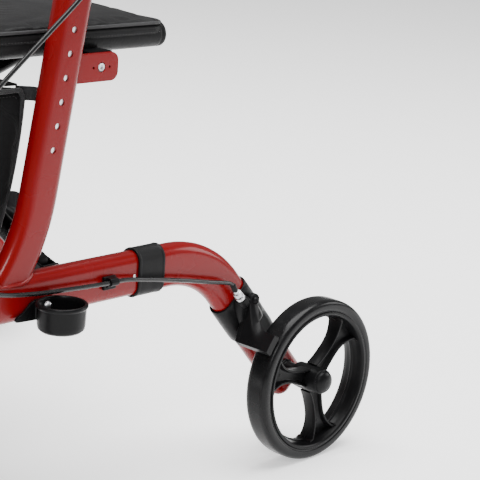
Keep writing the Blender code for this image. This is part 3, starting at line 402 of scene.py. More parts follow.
def headings(points, closed=False):
    """The direction of travel at each point of a line."""
    last = len(points) - 1
    out = []
    for i in range(len(points)):
        if closed:
            ahead, behind = points[(i + 1) % len(points)], points[i - 1]
        else:
            ahead, behind = points[min(i + 1, last)], points[max(i - 1, 0)]
        out.append((ahead - behind).normalized())
    return out


def arc(middle, radius, start, end, steps):
    turn = (end - start) / steps
    return [(middle[0] + radius * math.cos(start + i * turn),
             middle[1] + radius * math.sin(start + i * turn)) for i in range(steps + 1)]


def stadium(long, short, steps=10):
    """A flat-oval section: u across, v along its long way."""
    radius = short / 2
    straight = long / 2 - radius
    top = arc((0, straight), radius, 0, math.pi, steps)
    bottom = arc((0, -straight), radius, math.pi, 2 * math.pi, steps)
    middles = [(-radius, 0), (radius, 0)]
    return top + [middles[0]] + bottom + [middles[1]]


def round_section(radius, steps=12):
    return arc((0, 0), radius, 0, 2 * math.pi, steps)[:-1]


def sweep(name, path, section, flat=X_AXIS, scales=None, smooth=38):
    """A section swept along a path, with its u along `flat`."""
    path = [Vector(p) for p in path]
    rings = []
    for i, (p, along) in enumerate(zip(path, headings(path))):
        v = along.cross(flat).normalized()
        u = v.cross(along)
        k = scales[i] if scales else 1.0
        rings.append([p + k * (a * u + b * v) for a, b in section])
    return skin(name, rings, smooth=smooth)


def lathe(name, profile, origin, axis=X_AXIS, steps=64, closed=False, ease=0.0, smooth=38):
    """A turned piece. The profile's points are (radius, place along the axis)."""
    if ease:
        profile = [(p[0], p[1]) for p in
                   eased([(r, h, 0) for r, h in profile], ease, 3, closed)]
    axis = Vector(axis).normalized()
    side = axis.orthogonal().normalized()
    other = axis.cross(side)
    rings = []
    for r, h in profile:
        r = max(r, 0.0002)
        rings.append([Vector(origin) + h * axis
                      + r * (math.cos(2 * math.pi * i / steps) * side
                             + math.sin(2 * math.pi * i / steps) * other)
                      for i in range(steps)])
    return skin(name, rings, loop=closed, smooth=smooth)


def plate(name, outlines, thick, at, edge=0.0008, edge_steps=2, facing="X"):
    """A plate across X or Y at a place, with rounded edges. Outlines inside others are holes."""
    data = bpy.data.curves.new(name, "CURVE")
    data.dimensions = "2D"
    data.fill_mode = "BOTH"
    data.extrude = thick / 2 - edge
    data.bevel_depth = edge
    data.bevel_resolution = edge_steps
    data.offset = -edge
    for outline in outlines:
        spline = data.splines.new("POLY")
        spline.points.add(len(outline) - 1)
        for point, place in zip(spline.points, outline):
            point.co = (place[0], place[1], 0, 1)
        spline.use_cyclic_u = True
    curve = bpy.data.objects.new(name, data)
    bpy.context.scene.collection.objects.link(curve)
    bpy.context.view_layer.update()
    evaluated = curve.evaluated_get(bpy.context.evaluated_depsgraph_get())
    mesh = bpy.data.meshes.new_from_object(evaluated)
    bpy.data.objects.remove(curve, do_unlink=True)
    shape = bmesh.new()
    shape.from_mesh(mesh)
    bmesh.ops.remove_doubles(shape, verts=shape.verts, dist=1e-6)
    bmesh.ops.recalc_face_normals(shape, faces=shape.faces)
    shape.to_mesh(mesh)
    shape.free()
    turn = ((0, 0, 1, at), (1, 0, 0, 0), (0, 1, 0, 0), (0, 0, 0, 1))
    if facing == "Y":
        turn = ((1, 0, 0, 0), (0, 0, -1, at), (0, 1, 0, 0), (0, 0, 0, 1))
    mesh.transform(Matrix(turn))
    mesh.materials.clear()
    return flat_faces_flat(new_object(name, mesh))


def block(name, low, high, edge=0.001, segments=3):
    """A block between two corners, with rounded edges."""
    low, high = Vector(low), Vector(high)
    shape = bmesh.new()
    bmesh.ops.create_cube(shape, size=1)
    bmesh.ops.scale(shape, vec=high - low, verts=shape.verts)
    bmesh.ops.translate(shape, vec=(low + high) / 2, verts=shape.verts)
    bmesh.ops.bevel(shape, geom=shape.edges[:], offset=edge, segments=segments,
                    profile=0.5, affect="EDGES")
    return finished(name, shape)


def apply_modifiers(obj):
    bpy.context.view_layer.update()
    evaluated = obj.evaluated_get(bpy.context.evaluated_depsgraph_get())
    mesh = bpy.data.meshes.new_from_object(evaluated)
    obj.modifiers.clear()
    obj.data = mesh
    return obj


def flat_faces_flat(obj):
    """Normals that follow the large faces, so that rounded edges don't shade them."""
    weighted = obj.modifiers.new("weighted", "WEIGHTED_NORMAL")
    weighted.keep_sharp = True
    weighted.weight = 100
    return apply_modifiers(obj)


def boolean(obj, tool):
    """Cuts a tool's shape out of a piece."""
    modifier = obj.modifiers.new("cut", "BOOLEAN")
    modifier.operation = "DIFFERENCE"
    modifier.solver = "EXACT"
    modifier.object = tool
    apply_modifiers(obj)
    bpy.data.objects.remove(tool, do_unlink=True)
    obj.data.shade_smooth()
    obj.data.set_sharp_from_angle(angle=math.radians(38))
    return flat_faces_flat(obj)


def bead(name, line, radius, closed=False):
    """A weld bead along a line, with its ripples."""
    points = [Vector(p) for p in line]
    walked, rings = 0.0, []
    section = round_section(radius, 10)
    for i, (p, along) in enumerate(zip(points, headings(points, closed))):
        if i:
            walked += (p - points[i - 1]).length
        u = along.orthogonal() if abs(along.x) > 0.9 else along.cross(X_AXIS)
        u.normalize()
        v = along.cross(u)
        k = 1 + WELD_RIPPLE * math.cos(2 * math.pi * walked / WELD_PITCH)
        rings.append([p + k * (a * u + b * v) for a, b in section])
    return skin(name, rings, loop=closed, smooth=60)


# ---- putting pieces on the walker --------------------------------------------------

PAINTS = make_paints()


def dress(obj, body, slot, paint=None, nodes=()):
    """Gives a piece its material, from the paint or else the slot, and its body, and hides the nodes
    it stands for.
    """
    obj.data.materials.clear()
    obj.data.materials.append(PAINTS[paint or slot].material)
    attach(obj, body)
    if nodes:
        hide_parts(*nodes)
    return obj


def mirrored(obj, name):
    mesh = obj.data.copy()
    mesh.transform(Matrix.Scale(-1, 4, X_AXIS))
    mesh.flip_normals()
    twin = bpy.data.objects.new(name, mesh)
    bpy.context.scene.collection.objects.link(twin)
    return twin


def pair(obj, body, slot, paint=None, node=None):
    """A left piece and its mirror image. Names, bodies and nodes end or start by side."""
    base = obj.name
    left = obj
    left.name = f"{base}_left"
    right = mirrored(obj, f"{base}_right")
    for side, piece in (("left", left), ("right", right)):
        on = body.replace("SIDE", side)
        dress(piece, on, slot, paint, [f"{node}_{side}"] if node else ())
    return left, right


# ---- side frame ------------------------------------------------------------------

def rail_line():
    """The rail's centreline: straight, over the bend, and down past the rear axle."""
    drop = RAIL_Z - WHEEL_R - RAIL_BEND_R * (1 - math.cos(RAIL_BEND))
    reach = drop / math.tan(RAIL_BEND) + RAIL_BEND_R * math.sin(RAIL_BEND)
    middle = (AXLE.y - reach, RAIL_Z - RAIL_BEND_R)
    bend = arc(middle, RAIL_BEND_R, math.pi / 2, math.pi / 2 - RAIL_BEND, 22)
    start = HEAD.y + 0.008
    straight = [(start + (middle[0] - start) * i / 6, RAIL_Z) for i in range(6)]
    return [Vector((FRAME_X, y, z)) for y, z in straight + bend] + [on_tube(-RAIL_TAIL)]


def upright_line():
    """The upright's centreline, from its top to inside the rail."""
    straight_z, bend_r, lean = 0.375, 0.220, math.radians(39)
    start_y = upright_y(straight_z)
    middle = (start_y - bend_r * math.cos(RAKE), straight_z + bend_r * math.sin(RAKE))
    bend = arc(middle, bend_r, -RAKE, -lean, 14)
    count = 12
    run = [(upright_y(z), z) for z in
           (UPRIGHT_TOP + (straight_z - UPRIGHT_TOP) * i / count for i in range(count))]
    return [Vector((FRAME_X, y, z)) for y, z in run + bend]


def around(section_long, section_wide, profile, place):
    """Rings of a sleeve round an oval tube. Profile: (offset from the tube, place along)."""
    return [[place(u, v, h) for u, v in stadium(section_long + 2 * o, section_wide + 2 * o)]
            for o, h in profile]


def sleeve_profile(inner, outer, low, high, ease):
    return rounded([(inner, low), (outer, low), (outer, high), (inner, high)], ease)


def on_upright(u, v, h):
    """Across, fore and aft, and up the upright from its knob."""
    fore = X_AXIS.cross(LINE_UP)
    return Vector((FRAME_X + u, KNOB.y, KNOB.z)) - v * fore + h * LINE_UP


def make_rail():
    rail = sweep("rail", rail_line(), stadium(RAIL_LONG, RAIL_WIDE, 12))
    tree = BVHTree.FromPolygons([v.co for v in rail.data.vertices],
                                [p.vertices for p in rail.data.polygons])
    pair(rail, "SIDE_frame", "red_paint", node="rail")
    steps = 6
    tail = [on_tube(-RAIL_TAIL - 0.0003 - 0.010 * math.sin(math.pi / 2 * i / steps))
            for i in range(steps + 1)]
    shrink = [0.985 * math.cos(math.pi / 2 * 0.90 * i / steps) ** 0.45
              for i in range(steps + 1)]
    plug = sweep("rail_end_plug", tail, stadium(RAIL_LONG, RAIL_WIDE, 12), scales=shrink)
    pair(plug, "SIDE_frame", "red_paint", node="rail_end_plug")
    return tree


def make_upright(rail_tree):
    upright = sweep("upright", upright_line(), stadium(UPRIGHT_LONG, UPRIGHT_WIDE, 12))
    heights = [KNOB.z] + [HOLE_TOP - i * HOLE_PITCH for i in range(HOLE_COUNT)]
    wall = 0.0020
    for z in heights:
        low = Vector((FRAME_X + UPRIGHT_WIDE / 2 - wall, upright_y(z), z))
        hole = lathe("hole", [(HOLE_R, 0), (HOLE_R, 0.004), (HOLE_R + 0.004, 0.008)], low,
                     steps=32)
        boolean(upright, hole)
        if z < KNOB.z:
            back = lathe("height_hole_post", [(HOLE_R + 0.0002, -0.0002),
                                              (HOLE_R + 0.0002, 0.0002)], low, steps=28)
            back.name = f"height_hole_post_{heights.index(z)}"
            pair(back, "SIDE_frame", "bright_aluminium")
    pair(upright, "SIDE_frame", "red_paint", node="upright")
    foot = Vector((FRAME_X, *upright_line()[-5].yz))
    ahead = (upright_line()[-1] - upright_line()[-3]).normalized()
    flat = ahead.cross(X_AXIS).normalized()
    ring = []
    for u, v in stadium(UPRIGHT_LONG, UPRIGHT_WIDE, 16):
        start = foot + 0.985 * u * X_AXIS + 0.985 * v * flat - 0.04 * ahead
        hit = rail_tree.ray_cast(start, ahead)[0]
        if hit is not None:
            ring.append(hit)
    weld = bead("upright_weld", eased(ring, 0.002, 2, closed=True), 0.0023, closed=True)
    pair(weld, "SIDE_frame", "red_paint", "weld")
    profile = sleeve_profile(0.0004, 0.0022, 0, 0.016, 0.0012)
    top = (UPRIGHT_TOP - KNOB.z) / math.cos(RAKE)
    collar = skin("upright_collar", around(
        UPRIGHT_LONG, UPRIGHT_WIDE, profile,
        lambda u, v, h: on_upright(u, v, top - 0.0145 + h)), loop=True)
    pair(collar, "SIDE_frame", "black_plastic")
    lip = skin("upright_bush", around(
        UPRIGHT_LONG, UPRIGHT_WIDE, sleeve_profile(-0.0030, 0.0022, 0, 0.003, 0.0010),
        lambda u, v, h: on_upright(u, v, top + 0.0018 + h)), loop=True)
    pair(lip, "SIDE_frame", "black_plastic")


def make_head_tube():
    low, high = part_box("head_tube_left")
    r = (high.x - low.x) / 2
    tube = lathe("head_tube", [(r - 0.004, low.z + 0.0005), (r, low.z + 0.0005),
                               (r, high.z - 0.003), (r - 0.004, high.z - 0.003)],
                 (HEAD.x, HEAD.y, 0), (0, 0, 1), ease=0.001)
    pair(tube, "SIDE_frame", "red_paint", node="head_tube")
    cap = lathe("head_cap", [(0, high.z), (r * 0.55, high.z - 0.0002), (r * 0.9, high.z - 0.001),
                             (r + 0.0006, high.z - 0.0028), (r + 0.0006, high.z - 0.0046),
                             (r - 0.003, high.z - 0.0046)],
                (HEAD.x, HEAD.y, 0), (0, 0, 1), ease=0.0008)
    pair(cap, "SIDE_frame", "black_plastic")
    ring = []
    for u, v in stadium(RAIL_LONG, RAIL_WIDE, 14):
        ring.append(Vector((HEAD.x + u, HEAD.y + math.sqrt(r * r - u * u), RAIL_Z + v)))
    weld = bead("head_weld", ring, 0.0021, closed=True)
    pair(weld, "SIDE_frame", "red_paint", "weld")


def make_tab():
    """The seat tab with its bolt, its weld and the U block that holds the seat's tube."""
    low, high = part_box("seat_bracket_left")
    bolt = centre("bracket_bolt_left")
    thick, corner, z = high.x - low.x, 0.010, (low.z + high.z) / 2
    half = UPRIGHT_LONG / 2 / math.cos(RAKE) - 0.0006
    outline = [(upright_y(low.z) + half, low.z)]
    outline += arc((high.y - corner, low.z + corner), corner, -math.pi / 2, 0, 10)
    outline += arc((high.y - corner, high.z - corner), corner, 0, math.pi / 2, 10)
    outline += [(upright_y(high.z) + half, high.z)]
    spare, spare_r, sink_r = 0.0115, 0.0013, 0.0053
    holes = [arc((bolt.y, z), sink_r, 0, 2 * math.pi, 32)[:-1]]
    holes += [arc((bolt.y + d, z), spare_r, 0, 2 * math.pi, 16)[:-1] for d in (-spare, spare)]
    tab = plate("seat_bracket", [outline, *holes], thick, FRAME_X, 0.0007)
    pair(tab, "SIDE_frame", "red_paint", node="seat_bracket")
    for index, side in enumerate((-1, 1)):
        line = [(FRAME_X + side * (thick / 2), upright_y(h) + half, h) for h in
                (low.z + (high.z - low.z) * i / 24 for i in range(25))]
        weld = bead(f"tab_weld_{index}", line, 0.0019)
        pair(weld, "SIDE_frame", "red_paint", "weld")
    face = FRAME_X + thick / 2
    head = lathe("bracket_bolt", [(0, face - 0.0022), (0.0021, face - 0.0022),
                                  (0.0021, face - 0.0004), (0.0042, face - 0.0003),
                                  (0.0048, face - 0.0012), (0.0048, face - 0.003),
                                  (0.0028, face - 0.0032), (0.0028, FRAME_X - 0.0142),
                                  (0, FRAME_X - 0.0142)], (0, bolt.y, z), steps=36)
    pair(head, "SIDE_frame", "steel", node="bracket_bolt")
    # A black ring inside the bolt's sink: painted shade in the hole.
    shade = lathe("tab_sink_shade", [(sink_r + 0.0008, FRAME_X + 0.0001), (0.0030, FRAME_X + 0.0001),
                               (0.0030, FRAME_X - 0.001), (sink_r + 0.0008, FRAME_X - 0.001)],
                  (0, bolt.y, z), closed=True, steps=36)
    pair(shade, "SIDE_frame", "black_paint")
    a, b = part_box("seat_saddle_left")
    cradle = 0.0149
    reach = math.asin((SEAT_Z - b.z) / cradle)
    cup = arc((SEAT_X, SEAT_Z), cradle, -reach, reach - math.pi, 18)
    cup = [p for p in cup if a.x < p[0] < b.x]
    block_line = [(b.x, a.z), (b.x, b.z), *cup, (a.x, b.z), (a.x, a.z)]
    saddle = plate("seat_saddle", [block_line[::-1]], b.y - a.y, (a.y + b.y) / 2, 0.0012,
                   facing="Y")
    pair(saddle, "SIDE_frame", "black_plastic", node="seat_saddle")


def make_band_and_clip():
    low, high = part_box("rail_band_left")
    middle, half = (low.y + high.y) / 2, (high.y - low.y) / 2

    def on_rail(u, v, h):
        return Vector((FRAME_X + u, middle + h, RAIL_Z + v))

    points = [(0.0003, -half), (0.0030, -half), (0.0030, -half + 0.003), (0.0026, -half + 0.004),
              (0.0026, half - 0.004), (0.0030, half - 0.003), (0.0030, half), (0.0003, half)]
    profile = rounded(points, 0.0009)
    band = skin("rail_band", around(RAIL_LONG, RAIL_WIDE, profile, on_rail), loop=True)
    pair(band, "SIDE_frame", "grip_rubber", node="rail_band")
    a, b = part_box("cable_clip_left")
    cable_x, cable_z = FRAME_X + CABLE_OUT, 0.268
    foot = block("cable_clip_foot", (a.x, a.y + 0.003, a.z), (a.x + 0.0045, b.y - 0.003, b.z),
                 0.0012)
    pair(foot, "SIDE_frame", "black_plastic", node="cable_clip")
    outline = [(a.x + 0.001, a.z + 0.0005)]
    outline += arc((cable_x, cable_z), 0.0045, -math.pi * 0.55, math.pi * 0.5, 12)
    outline += [(a.x + 0.001, b.z - 0.0003)]
    jaw = plate("cable_clip_jaw", [outline, arc((cable_x, cable_z), 0.0028, 0, 2 * math.pi,
                                                24)[:-1]],
                0.012, (a.y + b.y) / 2, 0.0010, facing="Y")
    pair(jaw, "SIDE_frame", "black_plastic")
    screw = lathe("clip_screw", [(0, 0.0060), (0.0012, 0.0059), (0.0021, 0.0052),
                                 (0.0024, 0.0042), (0.0024, 0.0030), (0, 0.0030)],
                  (a.x, b.y - 0.0065, b.z - 0.0030), steps=24)
    pair(screw, "SIDE_frame", "steel")
    rivet = lathe("rail_rivet", [(0, 0.0011), (0.0012, 0.0009), (0.0020, 0.0003),
                                 (0.0022, -0.0004)],
                  (FRAME_X + RAIL_WIDE / 2, low.y - 0.0045, RAIL_Z - 0.0005), steps=24)
    pair(rivet, "SIDE_frame", "bright_aluminium")


def make_brace_feet():
    for side, sign, arm in (("left", 1, "brace_arm_a"), ("right", -1, "brace_arm_b")):
        low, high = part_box(f"brace_foot_{side}")
        wall = high.x if sign == 1 else low.x
        y, half = ARM_Y[arm], 0.0115
        body = f"{side}_frame"
        base_in = wall - sign * 0.004
        base = block(f"brace_foot_{side}_base",
                     (min(wall, base_in), y - half, low.z),
                     (max(wall, base_in), y + half, high.z - 0.0110), 0.0012)
        dress(base, body, "black_paint", nodes=[f"brace_foot_{side}"])
        tip = sign * SEAT_X
        for index, offset in enumerate((-0.0098, 0.0098)):
            start = 0.0 if sign == 1 else math.pi
            nose = arc((tip, FOOT_Z), 0.0090, math.pi / 2 + start, math.pi * 1.5 + start, 16)
            outline = [(base_in, FOOT_Z + (0.0030 if sign == 1 else -0.0145)), *nose,
                       (base_in, FOOT_Z + (-0.0145 if sign == 1 else 0.0030))]
            cheek = plate(f"brace_foot_{side}_cheek_{index}", [outline], 0.0036, y + offset,
                          0.0007, facing="Y")
            dress(cheek, body, "black_paint")
        pin = lathe(f"brace_foot_{side}_pin",
                    [(0, -0.0150), (0.0045, -0.0148), (0.0058, -0.0135), (0.0058, -0.0118),
                     (0.0037, -0.0117), (0.0037, 0.0117), (0.0058, 0.0118), (0.0058, 0.0135),
                     (0.0045, 0.0148), (0, 0.0150)], (tip, y, FOOT_Z), (0, 1, 0), 32)
        dress(pin, body, "steel")
        rivet = lathe(f"brace_foot_{side}_rivet_0",
                      [(0, 0.0022), (0.0022, 0.0018), (0.0036, 0.0004), (0.0036, -0.001)],
                      (base_in, y, low.z + 0.006), (-sign, 0, 0), 24)
        dress(rivet, body, "steel")


# ---- wheels ----------------------------------------------------------------------

def tyre_profile(x):
    half = TYRE_HALF
    side = [(RIM_R + 0.0004, half - 0.0035), (RIM_R + 0.0030, half - 0.0008),
            (RIM_R + 0.0042, half - 0.0012), (RIM_R + 0.0055, half - 0.0002),
            (WHEEL_R - 0.0060, half), (WHEEL_R - 0.0026, half - 0.0010),
            (WHEEL_R - 0.0008, half - 0.0036), (WHEEL_R, half - 0.0075)]
    points = side + [(r, -h) for r, h in reversed(side)]
    return [(r, x + h) for r, h in rounded(points, 0.0016)]


def rim_profile(x):
    side = [(RIM_R, 0.0125), (RIM_R + 0.0022, 0.0146), (RIM_R + 0.0022, 0.0162),
            (RIM_R - 0.0006, 0.0162), (RIM_R - 0.0024, 0.0146), (RIM_R - 0.0044, 0.0085),
            (RIM_R - 0.0052, 0.0022), (RIM_R - 0.0070, 0.0012)]
    points = side + [(r, -h) for r, h in reversed(side)]
    return [(r, x + h) for r, h in rounded(points, 0.0007)]


def spoke(name, middle, angle):
    """A spoke of H section whose two flanges part towards the rim."""
    stations = [(0.0135, 0.0122, 0.0080), (0.022, 0.0100, 0.0082), (0.034, 0.0086, 0.0084),
                (0.046, 0.0083, 0.0084), (0.056, 0.0096, 0.0086), (0.063, 0.0120, 0.0090),
                (0.070, 0.0156, 0.0098), (0.076, 0.0200, 0.0110), (0.0808, 0.0252, 0.0124)]
    line = smooth_line([Vector(s) for s in stations], 4)
    along = Vector((0, math.cos(angle), math.sin(angle)))
    across = Vector((0, -math.sin(angle), math.cos(angle)))
    flange, web, rings = 0.0024, 0.0026, []
    for station in line:
        reach, half, depth = station
        inner = max(half - flange - 0.0006 * (reach > 0.06), 0.001)
        curve = math.sqrt(max(1 - (half / 0.0835) ** 2, 0)) if reach > 0.078 else 1.0
        corners = [(half, -depth), (half, depth), (inner, depth), (inner - 0.0014, web),
                   (-inner + 0.0014, web), (-inner, depth), (-half, depth), (-half, -depth),
                   (-inner, -depth), (-inner + 0.0014, -web), (inner - 0.0014, -web),
                   (inner, -depth)]
        outline = eased([(a, d, 0) for a, d in corners], 0.0011, 2, closed=True)
        rings.append([middle + reach * (curve if abs(p.x) > inner * 0.9 else 1.0) * along
                      + p.x * across + p.y * X_AXIS for p in outline])
    return skin(name, rings, smooth=45)


def make_wheel(kind, middle, hub_half, body):
    x = middle.x
    origin = (0, middle.y, middle.z)
    tyre = lathe(f"{kind}_tyre", tyre_profile(x), origin, steps=160, closed=True)
    pair(tyre, body, "tyre_rubber", node=f"{kind}_tyre")
    rim = lathe(f"{kind}_rim", rim_profile(x), origin, steps=160, closed=True)
    pair(rim, body, "black_plastic", node=f"{kind}_rim")
    for index in range(3):
        angle = math.radians(45 + 120 * index)
        pair(spoke(f"{kind}_spoke_{index}", middle, angle), body, "black_plastic")
        mark = middle + 0.062 * Vector((0, math.cos(angle), math.sin(angle)))
        pin = lathe(f"{kind}_ejector_{index}", [(0, 0.0031), (0.0018, 0.0031), (0.0021, 0.0026),
                                                (0.0021, 0.0010)], mark, steps=20)
        pair(pin, body, "black_plastic")
    hub_r = 0.0155
    hub = lathe(f"{kind}_hub", [(0.0105, x - hub_half), (hub_r - 0.0012, x - hub_half),
                                (hub_r, x - hub_half + 0.0012), (hub_r + 0.0010, x - 0.0075),
                                (hub_r + 0.0010, x + 0.0075), (hub_r, x + hub_half - 0.0012),
                                (hub_r - 0.0012, x + hub_half), (0.0105, x + hub_half)],
                origin, closed=False, ease=0.0008)
    pair(hub, body, "black_plastic")


def make_rear_axle():
    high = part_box("rear_axle_left")[1]
    cap_in = AXLE.x + 0.0208
    cap = lathe("rear_axle_cap", [(0, high.x), (0.0050, high.x - 0.0003),
                                  (0.0092, high.x - 0.0015), (0.0122, high.x - 0.0034),
                                  (0.0138, high.x - 0.0054), (0.0142, cap_in + 0.0006),
                                  (0.0150, cap_in + 0.0006), (0.0150, cap_in), (0.006, cap_in)],
                (0, AXLE.y, AXLE.z), ease=0.0012)
    pair(cap, "SIDE_frame", "black_plastic", node="rear_axle")
    tube_out, hub_in = FRAME_X + RAIL_WIDE / 2, AXLE.x - 0.0218
    spacer = lathe("rear_axle_spacer", [(0.006, tube_out + 0.0002), (0.0125, tube_out + 0.0002),
                                        (0.0125, tube_out + 0.004), (0.0104, tube_out + 0.005),
                                        (0.0104, hub_in - 0.001), (0.0115, hub_in),
                                        (0.006, hub_in)], (0, AXLE.y, AXLE.z), ease=0.0008)
    pair(spacer, "SIDE_frame", "black_paint")
    inner = FRAME_X - RAIL_WIDE / 2
    hexagon = [(AXLE.y + y, AXLE.z + z) for y, z in arc((0, 0), 0.0098, 0, 2 * math.pi, 6)[:-1]]
    head = plate("rear_axle_head", [hexagon], 0.0056, inner - 0.0032, 0.0007)
    pair(head, "SIDE_frame", "steel")


def make_caster():
    low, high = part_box("caster_fork_left")
    half = (high.x - low.x) / 2
    crown = block("caster_crown", (HEAD.x - half + 0.0004, HEAD.y - 0.0185, 0.2125),
                  (HEAD.x + half - 0.0004, HEAD.y + 0.0255, 0.2275), 0.0045, 5)
    pair(crown, "SIDE_caster", "black_paint", node="caster_fork")
    end = 0.0135
    outline = [(HEAD.y + 0.0235, 0.2245), (HEAD.y - 0.0165, 0.2245),
               (HEAD.y - 0.0175, 0.1980)]
    outline += arc((FRONT_AXLE.y, FRONT_AXLE.z), end, math.radians(212), math.radians(378), 18)
    outline += [(HEAD.y + 0.0245, 0.2020)]
    outline = rounded(outline, 0.006, 4)
    slot_line = rounded([(HEAD.y - 0.0065, 0.2000), (HEAD.y + 0.0085, 0.1450),
                         (HEAD.y + 0.0235, 0.1450), (HEAD.y + 0.0125, 0.2000)], 0.007, 5)
    for index, sign in enumerate((-1, 1)):
        leg = plate(f"caster_leg_{index}", [outline], 0.0050,
                    HEAD.x + sign * (half - 0.0025), 0.0018, 3)
        pair(leg, "SIDE_caster", "black_paint")
        rib = plate(f"caster_rib_{index}", [slot_line], 0.0014,
                    HEAD.x + sign * (half - 0.0006), 0.0005)
        pair(rib, "SIDE_caster", "black_paint")
    collar = lathe("caster_race", [(0.008, 0.2270), (0.0150, 0.2270), (0.0150, 0.2292),
                                   (0.0135, 0.2304), (0.008, 0.2304)],
                   (HEAD.x, HEAD.y, 0), (0, 0, 1), ease=0.0006)
    pair(collar, "SIDE_caster", "steel")
    a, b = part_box("front_axle_left")
    head_r = (b.z - a.z) / 2
    hexagon = [(FRONT_AXLE.y + y, FRONT_AXLE.z + z)
               for y, z in arc((0, 0), head_r, 0.2, 0.2 + 2 * math.pi, 6)[:-1]]
    out = HEAD.x + half
    nut = plate("front_axle_head", [hexagon], 0.0042, out + 0.0023, 0.0006)
    pair(nut, "SIDE_caster", "steel", node="front_axle")
    inner = plate("front_axle_nut", [hexagon], 0.0042, HEAD.x - half - 0.0023, 0.0006)
    pair(inner, "SIDE_caster", "steel")
    rod = lathe("front_axle_rod", [(0, a.x + 0.004), (0.0044, a.x + 0.004),
                                   (0.0044, b.x - 0.004), (0, b.x - 0.004)],
                (0, FRONT_AXLE.y, FRONT_AXLE.z), steps=32)
    pair(rod, "SIDE_caster", "steel")


# ---- brakes and cables -------------------------------------------------------------

def make_cable():
    route = [Vector((FRAME_X + x, y, z)) for x, y, z in CABLE_ROUTE]
    route += [on_tube(SLEEVE_FAR + 0.030, 0, ADJUSTER_OUT),
              on_tube(SLEEVE_FAR + 0.0166, 0, ADJUSTER_OUT)]
    line = smooth_line(route, 10)
    cable = sweep("brake_cable", line, round_section(CABLE_R, 14), smooth=60)
    twin = mirrored(cable, "brake_cable_right")
    cable.name = "brake_cable_left"
    for side, piece in (("left", cable), ("right", twin)):
        piece.data.materials.clear()
        piece.data.materials.append(PAINTS["cable_casing"].material)
        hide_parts(f"brake_cable_{side}")
        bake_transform(piece)
    ends = ((line[-1], line[-4], "SIDE_frame", "low"), (line[0], line[3], "SIDE_handle", "high"))
    for end, inner, body, word in ends:
        ferrule = lathe(f"cable_ferrule_{word}",
                        [(0.0025, -0.001), (0.0033, -0.001), (0.0033, 0.008), (0.0027, 0.0095),
                         (0.0025, 0.0095)], end, inner - end, 28, ease=0.0006)
        pair(ferrule, body, "black_plastic")


def make_brake():
    def on_sleeve(u, v, h):
        return on_tube(h, v, u)

    wall = SLEEVE_WALL
    points = [(0.0003, SLEEVE_NEAR), (wall, SLEEVE_NEAR), (wall + 0.0004, SLEEVE_NEAR + 0.010),
              (wall + 0.0004, SLEEVE_FAR - 0.008), (wall, SLEEVE_FAR), (0.0003, SLEEVE_FAR)]
    profile = rounded(points, 0.0012)
    sleeve = skin("brake_sleeve", around(RAIL_LONG, RAIL_WIDE, profile, on_sleeve), loop=True)
    pair(sleeve, "SIDE_frame", "black_plastic", node="brake_sleeve")
    out = RAIL_WIDE / 2 + wall
    stations = [(SLEEVE_FAR - 0.001, 0.0060, 0.0065), (SLEEVE_FAR - 0.006, 0.0100, 0.0090),
                (SLEEVE_FAR - 0.018, 0.0150, 0.0085), (SLEEVE_FAR - 0.034, 0.0185, 0.0060),
                (SLEEVE_NEAR + 0.006, 0.0180, 0.0035), (SLEEVE_NEAR + 0.001, 0.0160, 0.0010)]
    rings = []
    for along, half, rise in (tuple(p) for p in smooth_line(stations, 5)):
        outline = eased([(out - 0.002, -half, 0), (out + rise, -half + 0.003, 0),
                         (out + rise, half - 0.003, 0), (out - 0.002, half, 0)], 0.004, 4,
                        closed=True)
        rings.append([on_tube(along, p.y, p.x) for p in outline])
    pair(skin("brake_housing", rings), "SIDE_frame", "black_plastic")
    rings, half, wide = [], RAIL_LONG / 2 - RAIL_WIDE / 2, RAIL_WIDE / 2
    for along, low in ((0.0960, -0.0210), (0.0880, -0.0150), (0.0790, -0.0050),
                       (0.0700, 0.0040), (0.0630, 0.0090), (0.0570, 0.0115)):
        taper = 1.0 if along > 0.065 else 0.75
        shell = []
        for grow in (wall * taper, 0.0003):
            side = [(wide + grow, low), (wide + grow, (low + half) / 2)]
            side += arc((0, half), wide + grow, 0, 2.1, 14)
            shell += side if grow > 0.001 else side[::-1]
        rings.append([on_tube(along, v, u) for u, v in shell])
    pair(skin("brake_guard", rings), "SIDE_frame", "black_plastic")
    lug = lathe("adjuster_lug", [(0.0052, -0.012), (0.0062, -0.010), (0.0062, -0.0004),
                                 (0.0054, 0.0), (0.0036, 0.0), (0.0036, -0.012)],
                on_tube(SLEEVE_FAR, 0, ADJUSTER_OUT), DOWN_TUBE, 40, True, 0.0006)
    pair(lug, "SIDE_frame", "black_plastic")
    thread = [(0.0030 + 0.0003 * (i % 2), -0.008 + 0.00055 * i) for i in range(16)]
    nut = [(0.0055, 0.0008), (0.0060, 0.0013), (0.0060, 0.0046), (0.0055, 0.0051),
           (0.0034, 0.0053), (0.0034, 0.0062), (0.0052, 0.0066), (0.0056, 0.0072),
           (0.0056, 0.0118), (0.0050, 0.0124), (0.0036, 0.0126), (0.0036, 0.0156),
           (0.0030, 0.0163)]
    barrel = lathe("cable_adjuster", [(0.0005, -0.008), *thread, *nut],
                   on_tube(SLEEVE_FAR, 0, ADJUSTER_OUT), DOWN_TUBE, 20, smooth=25)
    pair(barrel, "SIDE_frame", "steel", node="cable_adjuster")
    make_shoe(out)


